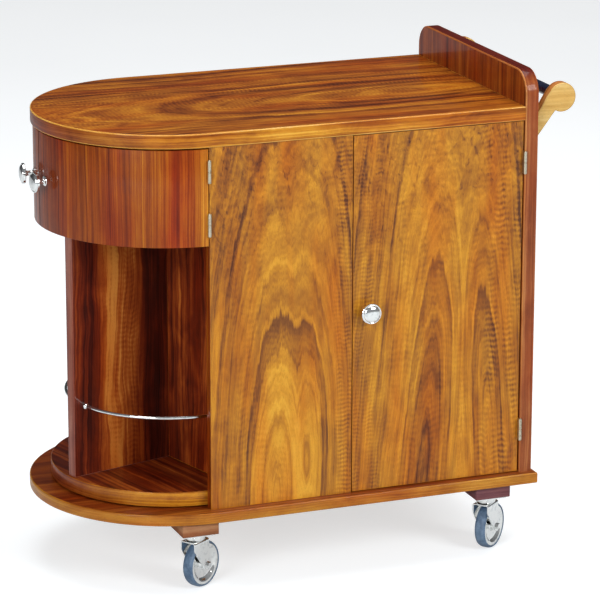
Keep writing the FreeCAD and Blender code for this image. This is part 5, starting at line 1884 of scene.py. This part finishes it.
    def leg_edges(self, height: float, crown: float) -> tuple[float, float]:
        """Where a leg's leading and trailing edges are at a height.

        Args:
            height: the height above the floor.
            crown: the height of the fork's top.

        Returns:
            Distances from the swivel along the trail.
        """
        half, middle = self.length / 2, self.hub.z
        if height <= middle:
            reach = math.sqrt(max(self.tip ** 2 - (middle - height) ** 2, self.tip_least ** 2))
            return self.trail - reach, self.trail + reach
        share = min(1.0, (height - middle) / (crown - self.shoulder - middle))
        lead_bow, trail_bow = self.bows
        leading = (self.trail - self.tip) + (-half - self.trail + self.tip) * share ** lead_bow
        trailing = (self.trail + self.tip) + (half - self.trail - self.tip) * share ** trail_bow
        return leading, trailing

    def build_fork(self) -> None:
        """One bent sheet: a crown and two legs that narrow to round tips."""
        crown, half, bend = Span.of(f"{self.name}_fork").high.z, self.width / 2, self.bend
        heights = [self.hub.z - self.tip + level for level in self.tip_levels]
        heights += [self.hub.z + (crown - bend - self.hub.z) * i / self.leg_steps
                    for i in range(self.leg_steps + 1)]
        stations = [(-half, height, -1.0, 0.0) for height in heights]
        for a, b in arc((-half + bend, crown - bend), bend, 180, 90, 5)[1:]:
            away = Vector((a + half - bend, b - crown + bend)).normalized()
            stations.append((a, b, away.x, away.y))
        stations += [(-a, b, -nx, nz) for a, b, nx, nz in reversed(stations)]
        rings = []
        for across, height, nx, nz in stations:
            lead, trail = self.leg_edges(height, crown)
            ease, inner = min(self.outer_ease, (trail - lead) / 4), self.metal - self.inner_ease
            section = ((lead, self.outer_ease), (lead + ease, 0), (trail - ease, 0),
                       (trail, self.outer_ease), (trail, inner), (trail - ease, self.metal),
                       (lead + ease, self.metal), (lead, inner))
            rings.append([Vector((along, across - nx * depth, height - nz * depth))
                          for along, depth in section])
        place = Matrix.Translation((self.swivel.x, self.swivel.y, 0)) @ Matrix.Rotation(self.heading, 4, "Z")
        form = Form().loft(rings, lambda i, j, point, row: (point.z, point.x))
        form.moved(place).finish(self.piece("fork_sheet", "caster", "chrome", "fork"), CHROME)

    def build_axle(self) -> None:
        """The axle with its hexagon head and nut."""
        end = self.width / 2
        form = Form()
        for direction in (self.axle, -self.axle):
            form.turned(raised(self.bolt, end), standing(self.hub, direction), around=6)
        reach = end + self.axle_proud
        form.turned(rod(self.axle_radius, -reach, reach), standing(self.hub, self.axle), around=24)
        form.finish(self.piece("axle_bolt", "caster", "chrome", "axle"), CHROME)

    def build_wheel(self) -> None:
        """The dished chrome wheel and its tyre."""
        place = standing(self.hub, self.axle)
        side = [*self.hub_side, *smooth(self.dish_side, 3), *self.lip_side]
        form = Form().turned(side + flipped(side), place, around=64)
        form.finish(self.piece("wheel_disc", "wheel", "chrome", "wheel"), CHROME)
        outer = Span.of(f"{self.name}_tyre").size.z / 2
        crown = [(outer + inset, height) for inset, height in self.tyre_crown]
        side = [*self.tyre_seat, *smooth([*self.tyre_wall, *crown], 4)]
        form = Form().turned(side[:-1] + flipped(side), place, around=96, hollow=True)
        form.finish(self.piece("tyre_ring", "wheel", "grey_tyre", "tyre"), TYRE_RUBBER)


# --- studio ---

@dataclass(frozen=True)
class Lamp:
    """A soft rectangular lamp.

    Attributes:
        name: its name.
        place: where it hangs.
        aim: what it points at.
        size: its width and height.
        power: its power in watts.
        colour: its colour.
    """

    name: str
    place: Point3
    aim: Point3
    size: Point2
    power: float
    colour: Colour = WHITE

    def hang(self) -> None:
        """Put the lamp in its place."""
        light = bpy.data.lights.new(self.name, "AREA")
        light.shape = "RECTANGLE"
        light.size, light.size_y = self.size
        light.energy, light.color = self.power, self.colour
        holder = bpy.data.objects.new(self.name, light)
        turn = (Vector(self.aim) - Vector(self.place)).to_track_quat("-Z", "Y")
        holder.matrix_world = Matrix.Translation(self.place) @ turn.to_matrix().to_4x4()
        bpy.context.scene.collection.objects.link(holder)


KEY = Lamp("key", (2.4, -4.6, 2.9), (0.0, 0.0, 0.5), (2.2, 2.2), 164.0)
FILL = Lamp("fill", (-4.0, -3.4, 2.2), (0.0, 0.0, 0.5), (2.4, 2.4), 165.0, (0.96, 0.98, 1.0))
ABOVE = Lamp("above", (0.2, 0.4, 4.2), (0.0, 0.0, 0.4), (3.0, 3.0), 120.0)


@dataclass
class Studio:
    """The white sweep, the lamps and the camera.

    Attributes:
        eye: where the camera stands.
        right: the picture's right, in the trolley's frame.
        above: the picture's up.
        lens: focal length, in millimetres.
        sensor: width of the camera's sensor, in millimetres.
        floor_size: side of the floor.
        floor_cloth: the two colours that its cloth wavers between.
        floor_waver: how many times it wavers in a metre.
        floor_light: how brightly it shines for the camera, so that only a soft shadow is left.
        mirrored: how much of that light a reflection shows.
        lamps: the lamps.
        sky: colour of the light that reflects in the trolley.
        horizon: the directions along Y between which that light goes from front_glow to back_glow.
        front_glow: light of the room in front of the trolley.
        back_glow: light of the room behind it.
    """

    eye: Point3 = (-1.99913, -5.25980, 2.03337)
    right: Point3 = (0.93274517, -0.36053249, 0.00166324)
    above: Point3 = (0.09794074, 0.25781999, 0.96121614)
    lens: float = 203.16
    sensor: float = 36.0
    floor_size: float = 24.0
    floor_cloth: tuple[Colour, Colour] = ((0.56, 0.59, 0.61), (0.53, 0.56, 0.58))
    floor_waver: float = 1.4
    floor_light: float = 0.62
    mirrored: float = 0.45
    lamps: tuple[Lamp, ...] = (KEY, FILL, ABOVE)
    sky: Colour = (0.95, 0.97, 1.0)
    horizon: Point2 = (-0.5, 0.6)
    front_glow: float = 0.3
    back_glow: float = 0.06

    def build(self) -> None:
        """Set up the shot."""
        self.build_camera()
        self.build_floor()
        for lamp in self.lamps:
            lamp.hang()
        self.build_world()

    def build_camera(self) -> None:
        """The camera, at the photograph's angle."""
        camera = bpy.data.cameras.new("camera")
        camera.lens, camera.sensor_width, camera.sensor_fit = self.lens, self.sensor, "HORIZONTAL"
        holder = bpy.data.objects.new("camera", camera)
        right, above = Vector(self.right).normalized(), Vector(self.above).normalized()
        turn = Matrix((right, above, right.cross(above))).transposed()
        holder.matrix_world = Matrix.Translation(self.eye) @ turn.to_4x4()
        scene = bpy.context.scene
        scene.collection.objects.link(holder)
        scene.camera = holder
        scene.view_settings.view_transform = "Standard"

    def build_floor(self) -> None:
        """A white sweep that keeps only the trolley's soft shadow."""
        bpy.ops.mesh.primitive_plane_add(size=self.floor_size)
        floor = bpy.context.object
        floor.name = "floor"
        graph = Graph("white_sweep")
        haze = graph.noise(graph.object_place(), scale=self.floor_waver, detail=3.0)
        cloth = graph.node("BsdfDiffuse")
        graph.feed(cloth.inputs["Color"], graph.mix(graph.spread(haze, 0.3, 0.7), *self.floor_cloth))
        path = graph.node("LightPath")
        mirrored = graph.math("MULTIPLY", path.outputs["Is Glossy Ray"], self.mirrored)
        looked_at = graph.math("MAXIMUM", path.outputs["Is Camera Ray"], mirrored)
        light = graph.glow("Emission", WHITE, self.floor_light)
        lit = graph.shaders("AddShader", cloth.outputs[0], light)
        seen = graph.shaders("MixShader", looked_at, cloth.outputs[0], lit)
        floor.data.materials.append(graph.shown(seen))

    def build_world(self) -> None:
        """White behind the trolley for the camera, soft grey for what reflects it."""
        graph = Graph("studio", world=True)
        direction = graph.node("SeparateXYZ")
        graph.feed(direction.inputs[0], graph.node("TexCoord").outputs["Generated"])
        strength = graph.spread(direction.outputs["Y"], *self.horizon, self.front_glow, self.back_glow)
        white, grey = graph.glow("Background", WHITE, 1.0), graph.glow("Background", self.sky, strength)
        looked_at = graph.node("LightPath").outputs["Is Camera Ray"]
        bpy.context.scene.world = graph.shown(graph.shaders("MixShader", looked_at, grey, white))


@dataclass
class Trolley:
    """The whole trolley, in the order that it is put together."""

    carcass: Carcass = field(default_factory=Carcass)
    doors: Doors = field(default_factory=Doors)
    fittings: Fittings = field(default_factory=Fittings)
    carousel: Carousel = field(default_factory=Carousel)
    handle: Handle = field(default_factory=Handle)

    def build(self) -> None:
        """Make every sub-assembly."""
        self.carcass.build()
        self.doors.build()
        self.fittings.build()
        self.carousel.build()
        self.handle.build()
        # Left blocks show their tan wood; right blocks take the purple-grey copy that paints their sheen.
        for name, block in (("front_left", BLOCK_TAN), ("front_right", BLOCK_SHEENED),
                            ("back_left", BLOCK_TAN), ("back_right", BLOCK_SHEENED)):
            Caster(name, block).build()


def main() -> None:
    """Build the trolley and its studio."""
    logging.basicConfig(level=logging.INFO, format="%(name)s: %(message)s")
    Trolley().build()
    Studio().build()


if __name__ == "__main__":
    main()
